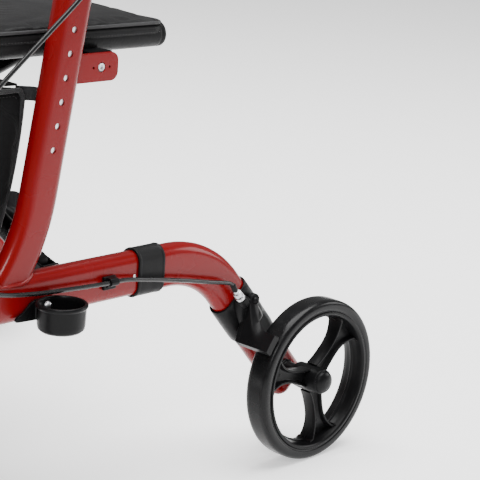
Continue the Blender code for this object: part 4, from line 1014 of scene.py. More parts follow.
def make_shoe(out):
    """The lever on the sleeve's pin and the shoe it holds over the tread."""
    inner_r, angle = WHEEL_R + 0.0036, math.radians(145)

    def at(r, a):
        return (AXLE.y + r * math.cos(angle + a), AXLE.z + r * math.sin(angle + a))

    shoe = [at(inner_r + 0.0100, 0.098), at(inner_r + 0.0020, 0.118)]
    shoe += [at(inner_r, 0.10 - 0.02 * i) for i in range(11)]
    shoe += [at(inner_r + 0.0020, -0.118), at(inner_r + 0.0100, -0.098)]
    back = arc((ARM_PIVOT.y, ARM_PIVOT.z), 0.0085, math.radians(-17), math.radians(163), 16)
    x = FRAME_X + out + 0.0016
    lever = plate("brake_arm", [back + shoe], 0.0068, x + 0.0034, 0.0014, 3)
    pair(lever, "SIDE_brake_arm", "black_plastic", node="brake_arm")
    reach, count = AXLE.x + 0.0138, len(back)

    def ring(out_x, t):
        slid = []
        for i, (y, z) in enumerate(back):
            to_y, to_z = at(inner_r + 0.0100, 0.098 * (2 * i / (count - 1) - 1))
            slid.append(Vector((out_x, y + (to_y - y) * t, z + (to_z - z) * t)))
        return slid + [Vector((out_x, y, z)) for y, z in shoe]

    stations = [(x + 0.0060, 0.10), (x + 0.0085, 0.20), (x + 0.0140, 0.42), (x + 0.0215, 0.68),
                (x + 0.0290, 0.86), (x + 0.0370, 0.97), (reach - 0.004, 1.0), (reach, 1.0)]
    wedge = skin("brake_shoe", [ring(*station) for station in stations], smooth=30)
    rounding = wedge.modifiers.new("rounding", "BEVEL")
    rounding.width, rounding.segments, rounding.limit_method = 0.0011, 3, "ANGLE"
    rounding.angle_limit = math.radians(40)
    apply_modifiers(wedge)
    pair(wedge, "SIDE_brake_arm", "black_plastic")
    pin = lathe("brake_pivot_pin", [(0, x + 0.0112), (0.0022, x + 0.0111), (0.0040, x + 0.0098),
                                    (0.0048, x + 0.0078), (0.0048, x + 0.0070),
                                    (0.0034, x + 0.0070), (0.0034, x - 0.003), (0, x - 0.003)],
                (0, ARM_PIVOT.y, ARM_PIVOT.z), steps=36)
    pair(pin, "SIDE_frame", "black_paint")


# ---- handles ---------------------------------------------------------------------

def make_handle():
    low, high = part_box("handle_post_left")
    wide = high.x - low.x
    top, bottom = (0.858 - KNOB.z) / math.cos(RAKE), (0.4005 - KNOB.z) / math.cos(RAKE)
    long = UPRIGHT_LONG - (UPRIGHT_WIDE - wide)
    post = skin("handle_post", [[on_upright(u, v, h) for u, v in stadium(long, wide)]
                                for h in (bottom, top)])
    pair(post, "SIDE_handle", "bright_aluminium", node="handle_post")
    head_low, head_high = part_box("handle_head_left")
    half = (head_high.x - head_low.x) / 2
    base = LEVER.z - 0.023
    shape = [(0.0120, 0.012), (0.0290, 0.0125), (0.0320, 0.030), (0.0215, 0.035),
             (0.0215, 0.072), (0.0140, 0.0765), (-0.030, 0.0785), (-0.050, 0.070),
             (-0.0605, 0.056), (-0.0600, 0.035)]
    foot = UPRIGHT_TOP + 0.006
    outline = [(upright_y(foot) - 0.0275, foot), (upright_y(foot) + 0.0275, foot)]
    outline += [(y, base + z) for y, z in shape]
    outline = rounded(outline, 0.010, 5)
    head = plate("handle_head", [outline], 2 * half - 0.0004, FRAME_X, 0.0060, 5)
    fork = block("fork_gap", (FRAME_X - 0.0059, 0.0075, LEVER.z - 0.023),
                 (FRAME_X + 0.0059, 0.045, LEVER.z + 0.0115), 0.001)
    pair(boolean(head, fork), "SIDE_handle", "black_plastic", node="handle_head")
    inset = [(-0.046, 0.034), (0.004, 0.040), (0.006, 0.066), (-0.030, 0.070), (-0.048, 0.060)]
    cover_line = rounded([(y, base + z) for y, z in inset], 0.008, 5)
    cover = plate("handle_cover", [cover_line], 0.0016, FRAME_X + half - 0.0006, 0.0006)
    pair(cover, "SIDE_handle", "black_plastic")
    for index, (y, z) in enumerate(((-0.040, 0.050), (-0.002, 0.052))):
        screw = lathe(f"handle_screw_{index}",
                      [(0, -0.0012), (0.0011, -0.0012), (0.0012, 0.0004), (0.0021, 0.0006),
                       (0.0026, 0.0), (0.0026, -0.002)],
                      (FRAME_X + half + 0.0001, y, base + z), steps=24)
        pair(screw, "SIDE_handle", "steel")
    outlet = lathe("cable_outlet", [(0.0026, -0.004), (0.0046, -0.004), (0.0058, 0.006),
                                    (0.0058, 0.016), (0.0026, 0.016)],
                   Vector((FRAME_X, 0, 0)) + Vector(CABLE_ROUTE[0]),
                   (-0.08, 0, 1), 36, False, 0.001)
    pair(outlet, "SIDE_handle", "black_plastic")
    pin = lathe("lever_pin", [(0, -half + 0.0004), (0.0026, -half + 0.0006),
                              (0.0028, -half + 0.0016), (0.0028, half - 0.0016),
                              (0.0026, half - 0.0006), (0, half - 0.0004)],
                (FRAME_X, LEVER.y, LEVER.z), steps=28)
    pair(pin, "SIDE_handle", "steel")
    make_grip()
    make_lever()
    make_knob()


def make_grip():
    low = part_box("grip_left")[0]
    tilt = math.radians(4)
    axis = Vector((0, math.cos(tilt), -math.sin(tilt)))
    start = Vector((FRAME_X, low.y + 0.0003, LEVER.z + 0.0345))
    length = 0.1175
    profile = [(0.0088, 0.0), (0.0160, 0.0), (0.0176, 0.0012), (0.0176, 0.0034), (0.0158, 0.0052)]
    ribs = 26
    for i in range(ribs * 4 + 1):
        t = i / (ribs * 4)
        h = 0.0075 + t * (length - 0.0225)
        swell = 0.0157 + 0.0018 * math.sin(math.pi * min(t * 1.15, 1.0)) ** 1.5
        groove = 0.00045 * (0.5 - 0.5 * math.cos(2 * math.pi * i / 4))
        profile.append((swell - groove, h))
    profile += [(0.0164, length - 0.012), (0.0158, length - 0.006), (0.0132, length - 0.002),
                (0.0080, length), (0, length + 0.0002)]
    grip = lathe("grip", profile, start, axis, 72, smooth=30)
    pair(grip, "SIDE_handle", "grip_rubber", node="grip")
    ring = lathe("grip_ring", [(0.0150, -0.0030), (0.0182, -0.0030), (0.0182, -0.0002),
                               (0.0150, -0.0002)], start, axis, 60, True, 0.0008)
    pair(ring, "SIDE_handle", "black_plastic")


def make_lever():
    pivot = (LEVER.y, LEVER.z)
    under = [(0.034, -0.0195), (0.062, -0.0300), (0.095, -0.0365), (0.127, -0.0405)]
    over = [(0.128, -0.0302), (0.095, -0.0252), (0.064, -0.0187), (0.040, -0.0082)]
    lower = smooth_line([(LEVER.y - 0.004, LEVER.z - 0.0075, 0)]
                        + [(y, LEVER.z + z, 0) for y, z in under], 5)
    upper = smooth_line([(y, LEVER.z + z, 0) for y, z in over]
                        + [(LEVER.y + 0.0045, LEVER.z + 0.0072, 0)], 5)
    outline = [*arc(pivot, 0.0084, math.radians(62), math.radians(238), 14),
               *((p.x, p.y) for p in lower[1:]),
               *arc((0.1305, LEVER.z - 0.0352), 0.0058, math.radians(-80), math.radians(80), 10),
               *((p.x, p.y) for p in upper[:-1])]
    lever = plate("brake_lever", [outline], 0.0106, FRAME_X, 0.0034, 4)
    pair(lever, "SIDE_brake_lever", "black_plastic", node="brake_lever")


def make_knob():
    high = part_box("knob_left")[1]
    y, z, count = KNOB.y, KNOB.z, 120
    lobes = []
    for i in range(count):
        a = 2 * math.pi * i / count
        reach = 0.0198 + 0.0022 * math.cos(5 * a)
        lobes.append((y + reach * math.cos(a), z + reach * math.sin(a)))
    thick = 0.0138
    body = plate("knob", [lobes], thick, high.x - thick / 2 - 0.0001, 0.0032, 4)
    pair(body, "SIDE_knob", "black_plastic", node="knob")
    cap = lathe("knob_cap", [(0, high.x - 0.0006), (0.0060, high.x - 0.0004),
                             (0.0085, high.x - 0.0002), (0.0100, high.x - 0.0010),
                             (0.0104, high.x - 0.0030)], (0, y, z), steps=48)
    pair(cap, "SIDE_knob", "black_plastic")
    face = FRAME_X + UPRIGHT_WIDE / 2
    collar = lathe("knob_collar", [(0, face + 0.0005), (0.0098, face + 0.0005),
                                   (0.0100, face + 0.0012), (0.0092, face + 0.0080),
                                   (0, face + 0.0080)], (0, y, z), steps=48)
    pair(collar, "SIDE_knob", "black_plastic")
    screw = lathe("knob_screw", [(0, face - 0.0022), (0.0033, face - 0.0022),
                                 (0.0033, face + 0.0010), (0, face + 0.0010)], (0, y, z),
                  steps=28)
    pair(screw, "SIDE_knob", "steel")


# ---- brace -----------------------------------------------------------------------

def make_brace():
    for name, sign in (("brace_arm_a", 1), ("brace_arm_b", -1)):
        y = ARM_Y[name]
        body = "brace_a" if sign == 1 else "brace_b"
        foot = Vector((sign * SEAT_X, y, FOOT_Z))
        top = Vector((-sign * SEAT_X, y, SEAT_Z))
        along = (top - foot).normalized()
        path = [foot + 0.006 * along + (top - foot) * 0.97 * i / 10 for i in range(11)]
        arm = sweep(f"{name}_tube", path, [(u, v) for u, v in stadium(0.0258, 0.0148)],
                    flat=Vector((0, 1, 0)))
        dress(arm, body, "black_paint", nodes=[name])
        eye = lathe(f"{name}_eye", [(0.0043, -0.0073), (0.0118, -0.0073), (0.0130, -0.0063),
                                    (0.0130, 0.0063), (0.0118, 0.0073), (0.0043, 0.0073)],
                    foot, (0, 1, 0), 48, True, 0.0005)
        dress(eye, body, "black_paint")
        r = 0.0124
        front, back = SEAT_FRONT + 0.0022, SEAT_REAR - 0.0022
        tube = lathe(f"{name}_seat_tube", [(r - 0.0018, front), (r, front), (r, back),
                                           (r - 0.0018, back)], (top.x, 0, SEAT_Z),
                     (0, 1, 0), 48, True, 0.0004)
        dress(tube, body, "black_paint")
        for word, end, sense in (("front", front, -1), ("rear", back, 1)):
            cap = lathe(f"{name}_{word}_cap", [(0, 0.0016), (0.0070, 0.0015), (0.0110, 0.0009),
                                               (0.0122, -0.0002), (0.0122, -0.0010),
                                               (0.0100, -0.0020)],
                        (top.x, end, SEAT_Z), (0, sense, 0), 48)
            dress(cap, body, "black_plastic")
        flat = along.cross(Vector((0, 1, 0))).normalized()
        ring = []
        for u, v in stadium(0.0258, 0.0148, 12):
            offset = math.sqrt(max(r * r - v * v, 0)) if abs(v) < r else 0
            ring.append(top - offset * along + u * Vector((0, 1, 0)) + v * flat)
        weld = bead(f"{name}_weld", ring, 0.0018, closed=True)
        dress(weld, body, "black_paint")
    mid_z = (FOOT_Z + SEAT_Z) / 2
    low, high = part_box("brace_pivot_bolt")
    for word, y, sense in (("head", high.y, 1), ("nut", low.y, -1)):
        cap = lathe(f"brace_bolt_{word}", [(0, 0.0), (0.0045, -0.0003), (0.0085, -0.0018),
                                           (0.0098, -0.0036), (0.0098, -0.0047),
                                           (0.0049, -0.0048), (0.0049, -0.0200), (0, -0.0200)],
                    (0, y, mid_z), (0, sense, 0), 40)
        nodes = ["brace_pivot_bolt"] if word == "head" else ()
        dress(cap, "brace_a", "steel", nodes=nodes)
    washer = lathe("brace_washer", [(0.0055, -0.0014), (0.0125, -0.0014), (0.0125, 0.0014),
                                    (0.0055, 0.0014)], (0, sum(ARM_Y.values()) / 2, mid_z),
                   (0, 1, 0), 40, True, 0.0004)
    dress(washer, "brace_a", "black_plastic")


# ---- seat ------------------------------------------------------------------------

def corner_ring(half_x, low_y, high_y, corner, steps=8):
    """A rounded rectangle in plan, as (x, y)."""
    ring = []
    for cx, cy, start in ((half_x - corner, high_y - corner, 0),
                          (corner - half_x, high_y - corner, 0.5),
                          (corner - half_x, low_y + corner, 1.0),
                          (half_x - corner, low_y + corner, 1.5)):
        ring += arc((cx, cy), corner, start * math.pi, (start + 0.5) * math.pi, steps)
    return ring


def refine(obj, voxel):
    modifier = obj.modifiers.new("even", "REMESH")
    modifier.mode = "VOXEL"
    modifier.voxel_size = voxel
    return apply_modifiers(obj)


def puff(obj, limit, pressure=4.0, frames=16, pinned=None):
    """Lets cloth settle over a shape, and keeps every point within `limit` of its start."""
    start = [v.co.copy() for v in obj.data.vertices]
    if pinned:
        group = obj.vertex_groups.new(name="pinned")
        group.add([v.index for v in obj.data.vertices if pinned(v.co)], 1.0, "REPLACE")
    cloth = obj.modifiers.new("cloth", "CLOTH")
    cloth.settings.quality = 4
    cloth.settings.mass = 0.3
    cloth.settings.tension_stiffness = 12
    cloth.settings.compression_stiffness = 12
    cloth.settings.bending_stiffness = 0.3
    cloth.settings.shrink_min = -0.02     # the cloth is cut 2% larger than the shape
    cloth.settings.use_pressure = True
    cloth.settings.uniform_pressure_force = pressure
    cloth.settings.effector_weights.gravity = 0
    cloth.collision_settings.use_collision = False
    if pinned:
        cloth.settings.vertex_group_mass = "pinned"
    scene = bpy.context.scene
    scene.frame_start, scene.frame_end = 1, frames
    cloth.point_cache.frame_start, cloth.point_cache.frame_end = 1, frames
    for step in range(1, frames + 1):
        scene.frame_set(step)
    apply_modifiers(obj)
    scene.frame_set(1)
    for vertex, first in zip(obj.data.vertices, start):
        moved = vertex.co - first
        if moved.length > limit:
            vertex.co = first + moved * (limit / moved.length)
    return obj


def finish_cloth(obj, levels=1):
    if levels:
        modifier = obj.modifiers.new("smooth", "SUBSURF")
        modifier.levels = modifier.render_levels = levels
        apply_modifiers(obj)
    obj.data.shade_smooth()
    return obj


def press(obj, lines, normal_axis, above):
    """Presses soft seams or creases into a skin. Lines: (points, depth, half width)."""
    for vertex in obj.data.vertices:
        p = vertex.co
        if not above(p):
            continue
        for points, depth, half in lines:
            for a, b in zip(points, points[1:]):
                a, b = Vector(a), Vector(b)
                t = max(0.0, min(1.0, (p - a).dot(b - a) / (b - a).length_squared))
                away = p - a.lerp(b, t)
                away[normal_axis] = 0
                if away.length < 3 * half:
                    vertex.co[normal_axis] -= depth * math.exp(-(away.length / half) ** 2)
    return obj


def stitches(name, line, pitch=0.0042, length=0.0026, radius=0.00035):
    """A row of thread stitches along a line, as one piece."""
    shape = bmesh.new()
    points = [Vector(p) for p in line]
    walked, target = 0.0, pitch / 2
    for a, b in zip(points, points[1:]):
        span = (b - a).length
        while span > 0 and target <= walked + span:
            middle = a.lerp(b, (target - walked) / span)
            along = (b - a).normalized()
            side = along.orthogonal().normalized()
            other = along.cross(side)
            rows = []
            for t, k in ((-1, 0.35), (-0.7, 0.9), (0.7, 0.9), (1, 0.35)):
                rows.append([shape.verts.new(middle + along * (t * length / 2) + radius * k * (
                    math.cos(2 * math.pi * i / 6) * side + math.sin(2 * math.pi * i / 6) * other))
                    for i in range(6)])
            for low, high in zip(rows, rows[1:]):
                for i in range(6):
                    j = (i + 1) % 6
                    shape.faces.new((low[i], low[j], high[j], high[i]))
            shape.faces.new(rows[0][::-1])
            shape.faces.new(rows[-1])
            target += pitch
        walked += span
    return finished(name, shape)


SEAT_HALF, SEAT_CORNER = SEAT_X + 0.0125, 0.020
SEAT_LOW_Y, SEAT_HIGH_Y = SEAT_FRONT + 0.0012, SEAT_REAR - 0.0012
SEAT_MIDDLE_Y = (SEAT_LOW_Y + SEAT_HIGH_Y) / 2
SEAT_TOP, SEAT_UNDER = 0.5478, 0.5335
SEAT_SLOPE_FROM, SEAT_SLOPE_DROP = 0.5390, 0.0072


def seat_drop(p):
    """The top slopes down to the seat's corners, by this much at a point."""
    u = min(abs(p.x) / SEAT_HALF, 1)
    v = min(abs(p.y - SEAT_MIDDLE_Y) / (SEAT_HIGH_Y - SEAT_MIDDLE_Y), 1)
    share = max(min((p.z - SEAT_SLOPE_FROM) / (SEAT_TOP - SEAT_SLOPE_FROM), 1), 0)
    return SEAT_SLOPE_DROP * share * (0.25 * u ** 4 + 0.75 * u ** 2 * v ** 2)


def seat_ring(inset, z):
    corner = max(SEAT_CORNER - inset, 0.004)
    return [Vector((x, y, z)) for x, y in
            corner_ring(SEAT_HALF - inset, SEAT_LOW_Y + inset, SEAT_HIGH_Y - inset, corner)]


def seat_edge(past, z):
    """A line round the seat, past its edge, that follows the slope of its top."""
    line = [Vector((x, y, z)) for x, y in
            corner_ring(SEAT_HALF + past, SEAT_LOW_Y - past, SEAT_HIGH_Y + past, SEAT_CORNER, 10)]
    return [p - Vector((0, 0, seat_drop(p))) for p in line]


def seat_creases():
    """Creases that fan out from the front corners, as (line, depth, half width)."""
    creases = []
    for sign in (1, -1):
        for route in (((0.205, -0.190), (0.150, -0.120), (0.070, -0.075)),
                      ((0.222, -0.165), (0.185, -0.095), (0.120, -0.040)),
                      ((0.165, -0.196), (0.100, -0.150), (0.030, -0.135)),
                      ((0.226, -0.120), (0.205, -0.060), (0.165, -0.010)),
                      ((0.110, -0.200), (0.055, -0.175), (0.000, -0.170))):
            line = smooth_line([Vector((sign * x, y, SEAT_TOP)) for x, y in route], 5)
            creases.append((line, 0.0006 + 0.0002 * (len(creases) % 3), 0.0060))
    return creases


def make_seat_pad():
    top, under = SEAT_TOP, SEAT_UNDER
    rings = [seat_ring(inset, z) for inset, z in
             ((0.0040, under), (0.0010, under + 0.0012), (0.0004, under + 0.0060),
              (-0.0016, under + 0.0072), (-0.0020, top - 0.0040), (-0.0008, top - 0.0016),
              (0.0024, top - 0.0003), (0.0070, top))]
    pad = refine(skin("seat_pad", rings), 0.005)
    pad.name = "seat_pad"
    for vertex in pad.data.vertices:
        p = vertex.co
        u = p.x / SEAT_HALF
        v = (p.y - SEAT_MIDDLE_Y) / (SEAT_HIGH_Y - SEAT_MIDDLE_Y)
        drop = seat_drop(p)
        if p.z > top - 0.006:
            crown = max(1 - abs(u) ** 2.6, 0) ** 0.6 * max(1 - abs(v) ** 2.6, 0) ** 0.6
            p.z += 0.0038 * crown
        p.z -= drop
    press(pad, seat_creases(), 2, lambda p: p.z > top - 0.003)
    puff(pad, 0.0018, pressure=2.0, frames=12, pinned=lambda p: p.z < top - 0.004)
    finish_cloth(pad, 1)
    dress(pad, "seat", "seat_vinyl", nodes=["seat"])
    return pad


def make_seat_hem(side, x, body):
    """The sleeve that holds the seat on one of its side tubes."""
    end = [(0.0127, 0.0006), (0.0138, 0.0), (0.0144, 0.001), (0.0145, 0.004),
           (0.0141, 0.0058), (0.0141, 0.0068), (0.0145, 0.009)]
    profile = [(r, SEAT_FRONT + h) for r, h in end]
    profile += [(r, SEAT_REAR - h) for r, h in reversed(end)]
    hem = lathe(f"seat_hem_{side}", profile, (x, 0, SEAT_Z), (0, 1, 0), 56, True, 0.0006, 60)
    dress(hem, body, "seat_vinyl")


def make_seat():
    soft = [make_seat_pad()]
    piping = tube_ring("seat_piping", seat_edge(0.0012, SEAT_TOP - 0.0018), 0.0019)
    soft.append(dress(piping, "seat", "seat_vinyl", "thread"))
    rows = [seat_ring(inset, z) for inset, z in
            ((0.0040, 0.5286), (-0.0014, 0.5288), (-0.0028, 0.5302), (-0.0032, 0.5335),
             (-0.0028, 0.5368), (-0.0012, 0.5380), (0.0040, 0.5382))]
    soft.append(dress(skin("seat_band", rows, smooth=60), "seat", "seat_vinyl"))
    # A sheet in black paint inside the groove between the pad and the band: painted shade in the
    # recess, not the vinyl's own colour.
    inner = [seat_ring(0.0006, 0.5378), seat_ring(0.0006, SEAT_UNDER + 0.0080)]
    soft.append(dress(skin("seat_groove_shade", inner), "seat", "black_paint"))
    for index, (z, past) in enumerate(((0.5312, 0.0031), (0.5440, 0.0021))):
        line = seat_edge(past, z)
        soft.append(dress(stitches(f"seat_stitches_{index}", line + line[:1]), "seat",
                          "seat_vinyl", "thread"))
    for obj in soft:
        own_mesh(obj)
    make_seat_hem("left", SEAT_X, "brace_b")
    make_seat_hem("right", -SEAT_X, "seat")


def tube_ring(name, line, radius, closed=True):
    """A cord along a line; its section turns with the line."""
    points = [Vector(p) for p in line]
    section, rings = round_section(radius, 10), []
    for p, along in zip(points, headings(points, closed)):
        u = along.cross(Vector((0.31, 0.17, 0.93))).normalized()
        v = along.cross(u)
        rings.append([p + a * u + b * v for a, b in section])
    return skin(name, rings, loop=closed, smooth=60)


# ---- bag -------------------------------------------------------------------------

BAG_TOP, BAG_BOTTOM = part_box("bag")[1].z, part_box("bag")[0].z
BAG_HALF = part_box("bag")[1].x


def bag_section(z):
    """Front, back and half width of the bag at a height."""
    t = (BAG_TOP - z) / (BAG_TOP - BAG_BOTTOM)
    back = -0.1075 - 0.012 * t - 0.046 * t * abs(t)
    front = -0.2445 - 0.067 * t - 0.010 * math.sin(math.pi * t)
    return front, back, BAG_HALF - 0.0030


def bag_ring(z, inset):
    front, back, half = bag_section(z)
    inset -= 0.0022                           # the remesh takes this much off the edges
    line = corner_ring(half - inset, front + inset, back - inset, 0.006, 7)
    return [Vector((x, y, z)) for x, y in line]


def sag_bag(p):
    """Moves one point of the bag's skin, so that its sides belly, sag and ripple."""
    front, back, half = bag_section(p.z)
    t = (p.z - BAG_BOTTOM) / (BAG_TOP - BAG_BOTTOM)
    belly = math.sin(math.pi * min(max(t, 0), 1)) ** 0.8
    across = max(1 - (p.x / half) ** 4, 0)
    along = max(1 - ((p.y - (front + back) / 2) / ((back - front) / 2)) ** 4, 0)
    wave = 0.0022 * math.sin(31 * p.x + 5 * p.z) * math.sin(17 * p.z + 1.3)
    if p.y < front + 0.012:
        p.y -= 0.006 * belly * across + wave * belly * 0.8
    if p.y > back - 0.012:
        p.y += 0.0006 * belly * across + wave * belly * 0.3
    if abs(p.x) > half - 0.010:
        p.x -= math.copysign(0.0025 * belly * along, p.x)
    if t > 0.97:
        p.z -= 0.009 * across * along + 0.4 * wave
    if t < 0.04:
        p.z -= 0.001 * across * along


def make_bag_body():
    low, high = BAG_BOTTOM + 0.011, BAG_TOP - 0.020
    rings = [bag_ring(BAG_BOTTOM + 0.0015, 0.022), bag_ring(BAG_BOTTOM + 0.004, 0.010),
             bag_ring(low, 0.003)]
    rings += [bag_ring(low + (high - BAG_BOTTOM) * i / 10,
                       0.0015 * math.cos(math.pi * i / 10) ** 2) for i in range(1, 10)]
    rings += [bag_ring(BAG_TOP - 0.006, 0.002), bag_ring(BAG_TOP - 0.0015, 0.010),
              bag_ring(BAG_TOP - 0.0005, 0.024)]
    body = refine(skin("bag_body", rings), 0.006)
    body.name = "bag_body"
    for vertex in body.data.vertices:
        sag_bag(vertex.co)
    puff(body, 0.0045, pressure=3.0, frames=14,
         pinned=lambda p: abs(abs(p.x) - (BAG_HALF - 0.0035)) < 0.006 and p.z > BAG_TOP - 0.02)
    finish_cloth(body, 1)
    dress(body, "left_frame", "bag_nylon", nodes=["bag"])
    return body


def bag_seam(sign):
    """The seam round one side panel of the bag."""
    z_low, z_high, corner, set_in = BAG_BOTTOM + 0.006, BAG_TOP - 0.004, 0.016, 0.0022
    line = []
    for z, at_back in ((z_high, True), (z_high, False), (z_low, False), (z_low, True)):
        front, back, half = bag_section(z)
        line.append((sign * (half - 0.0008), back - set_in if at_back else front + set_in, z))
    seam = []
    for a, b in zip(line, line[1:] + line[:1]):
        for i in range(12):
            p = Vector(a).lerp(Vector(b), i / 12)
            front, back, half = bag_section(p.z)
            if abs(a[2] - b[2]) > 0.05:
                p.y = back - set_in if p.y > (front + back) / 2 else front + set_in
            seam.append(p)
    return eased(seam, corner, 1, closed=True)


def bag_seam_stitches(seam, sign):
    """The line of stitches on the side panel, inside its seam."""
    inside, near = 0.006, 0.02
    line = []
    for p in seam:
        front, back = bag_section(p.z)[:2]
        dy = -inside if p.y > back - near else inside if p.y < front + near else 0
        dz = -inside if p.z > BAG_TOP - near else inside if p.z < BAG_BOTTOM + near else 0
        line.append(p + Vector((sign * 0.0004, dy, dz)))
    return line + line[:1]


def make_bag_lid():
    """The lid lies on the bag's top and hangs down its front. Returns it and its stitches."""
    lid_line = [(-0.1100, BAG_TOP + 0.0010), (-0.150, BAG_TOP + 0.0018),
                (-0.190, BAG_TOP - 0.001), (-0.230, BAG_TOP + 0.0012),
                (-0.2520, BAG_TOP - 0.0030)]
    lid_line += [(bag_section(BAG_TOP - drop)[0] - past, BAG_TOP - drop) for drop, past in
                 ((0.013, 0.0085), (0.030, 0.0105), (0.048, 0.0120), (0.064, 0.0125))]
    spine = smooth_line([Vector((0, y, z)) for y, z in lid_line], 5)
    half, thick, count = BAG_HALF - 0.014, 0.0022, 40
    under = [p - Vector((0, 0, thick) if p.y > -0.245 else (0, -thick, 0)) for p in spine]
    sections = []
    for i in range(count + 1):
        u = -1 + 2 * i / count
        sag = 0.0045 * (1 - u ** 4)
        wave = 0.0010 * math.sin(9 * u + 1)
        pull = 0.004 * max(abs(u) - 0.92, 0) / 0.08
        sections.append([Vector((u * half, p.y + (pull + wave if p.y < -0.25 else 0),
                                 p.z - (sag if -0.24 < p.y < -0.135 else 0) + wave * 0.5
                                 + (pull if p.z < BAG_TOP - 0.05 else 0)))
                         for p in spine + under[::-1]])
    lid = dress(skin("bag_lid", sections, smooth=60), "left_frame", "bag_nylon")
    seam_z = BAG_TOP - 0.059
    hem = [Vector(((i / 20 - 1) * (BAG_HALF - 0.016), bag_section(seam_z)[0] - 0.0128, seam_z))
           for i in range(41)]
    seam = dress(stitches("bag_lid_stitches", hem, 0.0045), "left_frame", "bag_nylon", "thread")
    return [lid, seam]


def make_bag_pocket():
    """The pocket on the bag's front, with its zip."""
    half, rows = 0.158, []
    for z, rise in ((0.300, 0.0), (0.303, 0.0055), (0.312, 0.0105), (0.350, 0.0125),
                    (0.385, 0.0105), (0.3985, 0.0075), (0.4010, 0.0)):
        front = bag_section(z)[0] - 0.0090
        row = [Vector((x, front - rise * max(1 - (abs(x) / half) ** 6, 0) ** 0.5, z))
               for x in (half * (i / 16 - 1) for i in range(33))]
        rows.append(row + [Vector((p.x, front + 0.004, z)) for p in reversed(row)])
    pocket = dress(skin("bag_pocket", rows, smooth=60), "left_frame", "bag_nylon")
    zip_z = 0.392
    line = [Vector((0.148 * (i / 30 - 1), bag_section(zip_z)[0] - 0.0197
                    + 0.0075 * abs(i / 30 - 1) ** 6, zip_z)) for i in range(61)]
    teeth = stitches("bag_zip", line, 0.0032, 0.0022, 0.0011)
    return [pocket, dress(teeth, "left_frame", "black_plastic")]


def make_bag():
    body = make_bag_body()
    soft = [body]
    for side, sign in (("left", 1), ("right", -1)):
        seam = bag_seam(sign)
        loop = tube_ring(f"bag_piping_{side}", seam, 0.0030)
        soft.append(dress(loop, "left_frame", "bag_nylon", "webbing"))
        row = stitches(f"bag_stitches_{side}", bag_seam_stitches(seam, sign), 0.0045)
        soft.append(dress(row, "left_frame", "bag_nylon", "thread"))
    soft += make_bag_lid() + make_bag_pocket()
    for obj in soft:
        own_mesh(obj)
    for side, sign in (("left", 1), ("right", -1)):
        for index, (z, tall) in enumerate(((0.4770, 0.0075), (0.3660, 0.0085))):
            make_bag_tab(side, sign, index, z, tall)


def make_bag_tab(side, sign, index, z, tall):
    """A webbing tab from the bag's side seam to a rivet in the upright's inner face."""
    back = bag_section(z)[1]
    line = [(p.y, p.z) for p in upright_line()]
    middle_y = min(line, key=lambda p: abs(p[1] - z))[0]
    inner = FRAME_X - UPRIGHT_WIDE / 2 - 0.0008
    path = [(BAG_HALF - 0.012, back - 0.006), (BAG_HALF - 0.006, back - 0.001),
            (BAG_HALF + 0.0005, back + 0.006), (inner - 0.0010, middle_y - 0.012),
            (inner, middle_y - 0.004), (inner, middle_y + 0.010)]
    path = smooth_line([Vector((sign * x, y, z)) for x, y in path], 5)
    rings = []
    for p, along in zip(path, headings(path)):
        out = along.cross(Vector((0, 0, 1)))
        rings.append([p + out * a + Vector((0, 0, b)) for a, b in
                      ((0.0007, -tall), (0.0007, tall), (-0.0007, tall), (-0.0007, -tall))])
    tab = skin(f"bag_tab_{side}_{index}", rings, smooth=50)
    dress(tab, f"{side}_frame", "bag_nylon", "webbing")
    rivet = lathe(f"bag_tab_rivet_{side}_{index}",
                  [(0, 0.0022), (0.0020, 0.0019), (0.0036, 0.0008), (0.0036, -0.001), (0, -0.001)],
                  (sign * inner, middle_y + 0.003, z), (-sign, 0, 0), 24)
    dress(rivet, f"{side}_frame", "steel")


# ---- back strap --------------------------------------------------------------------

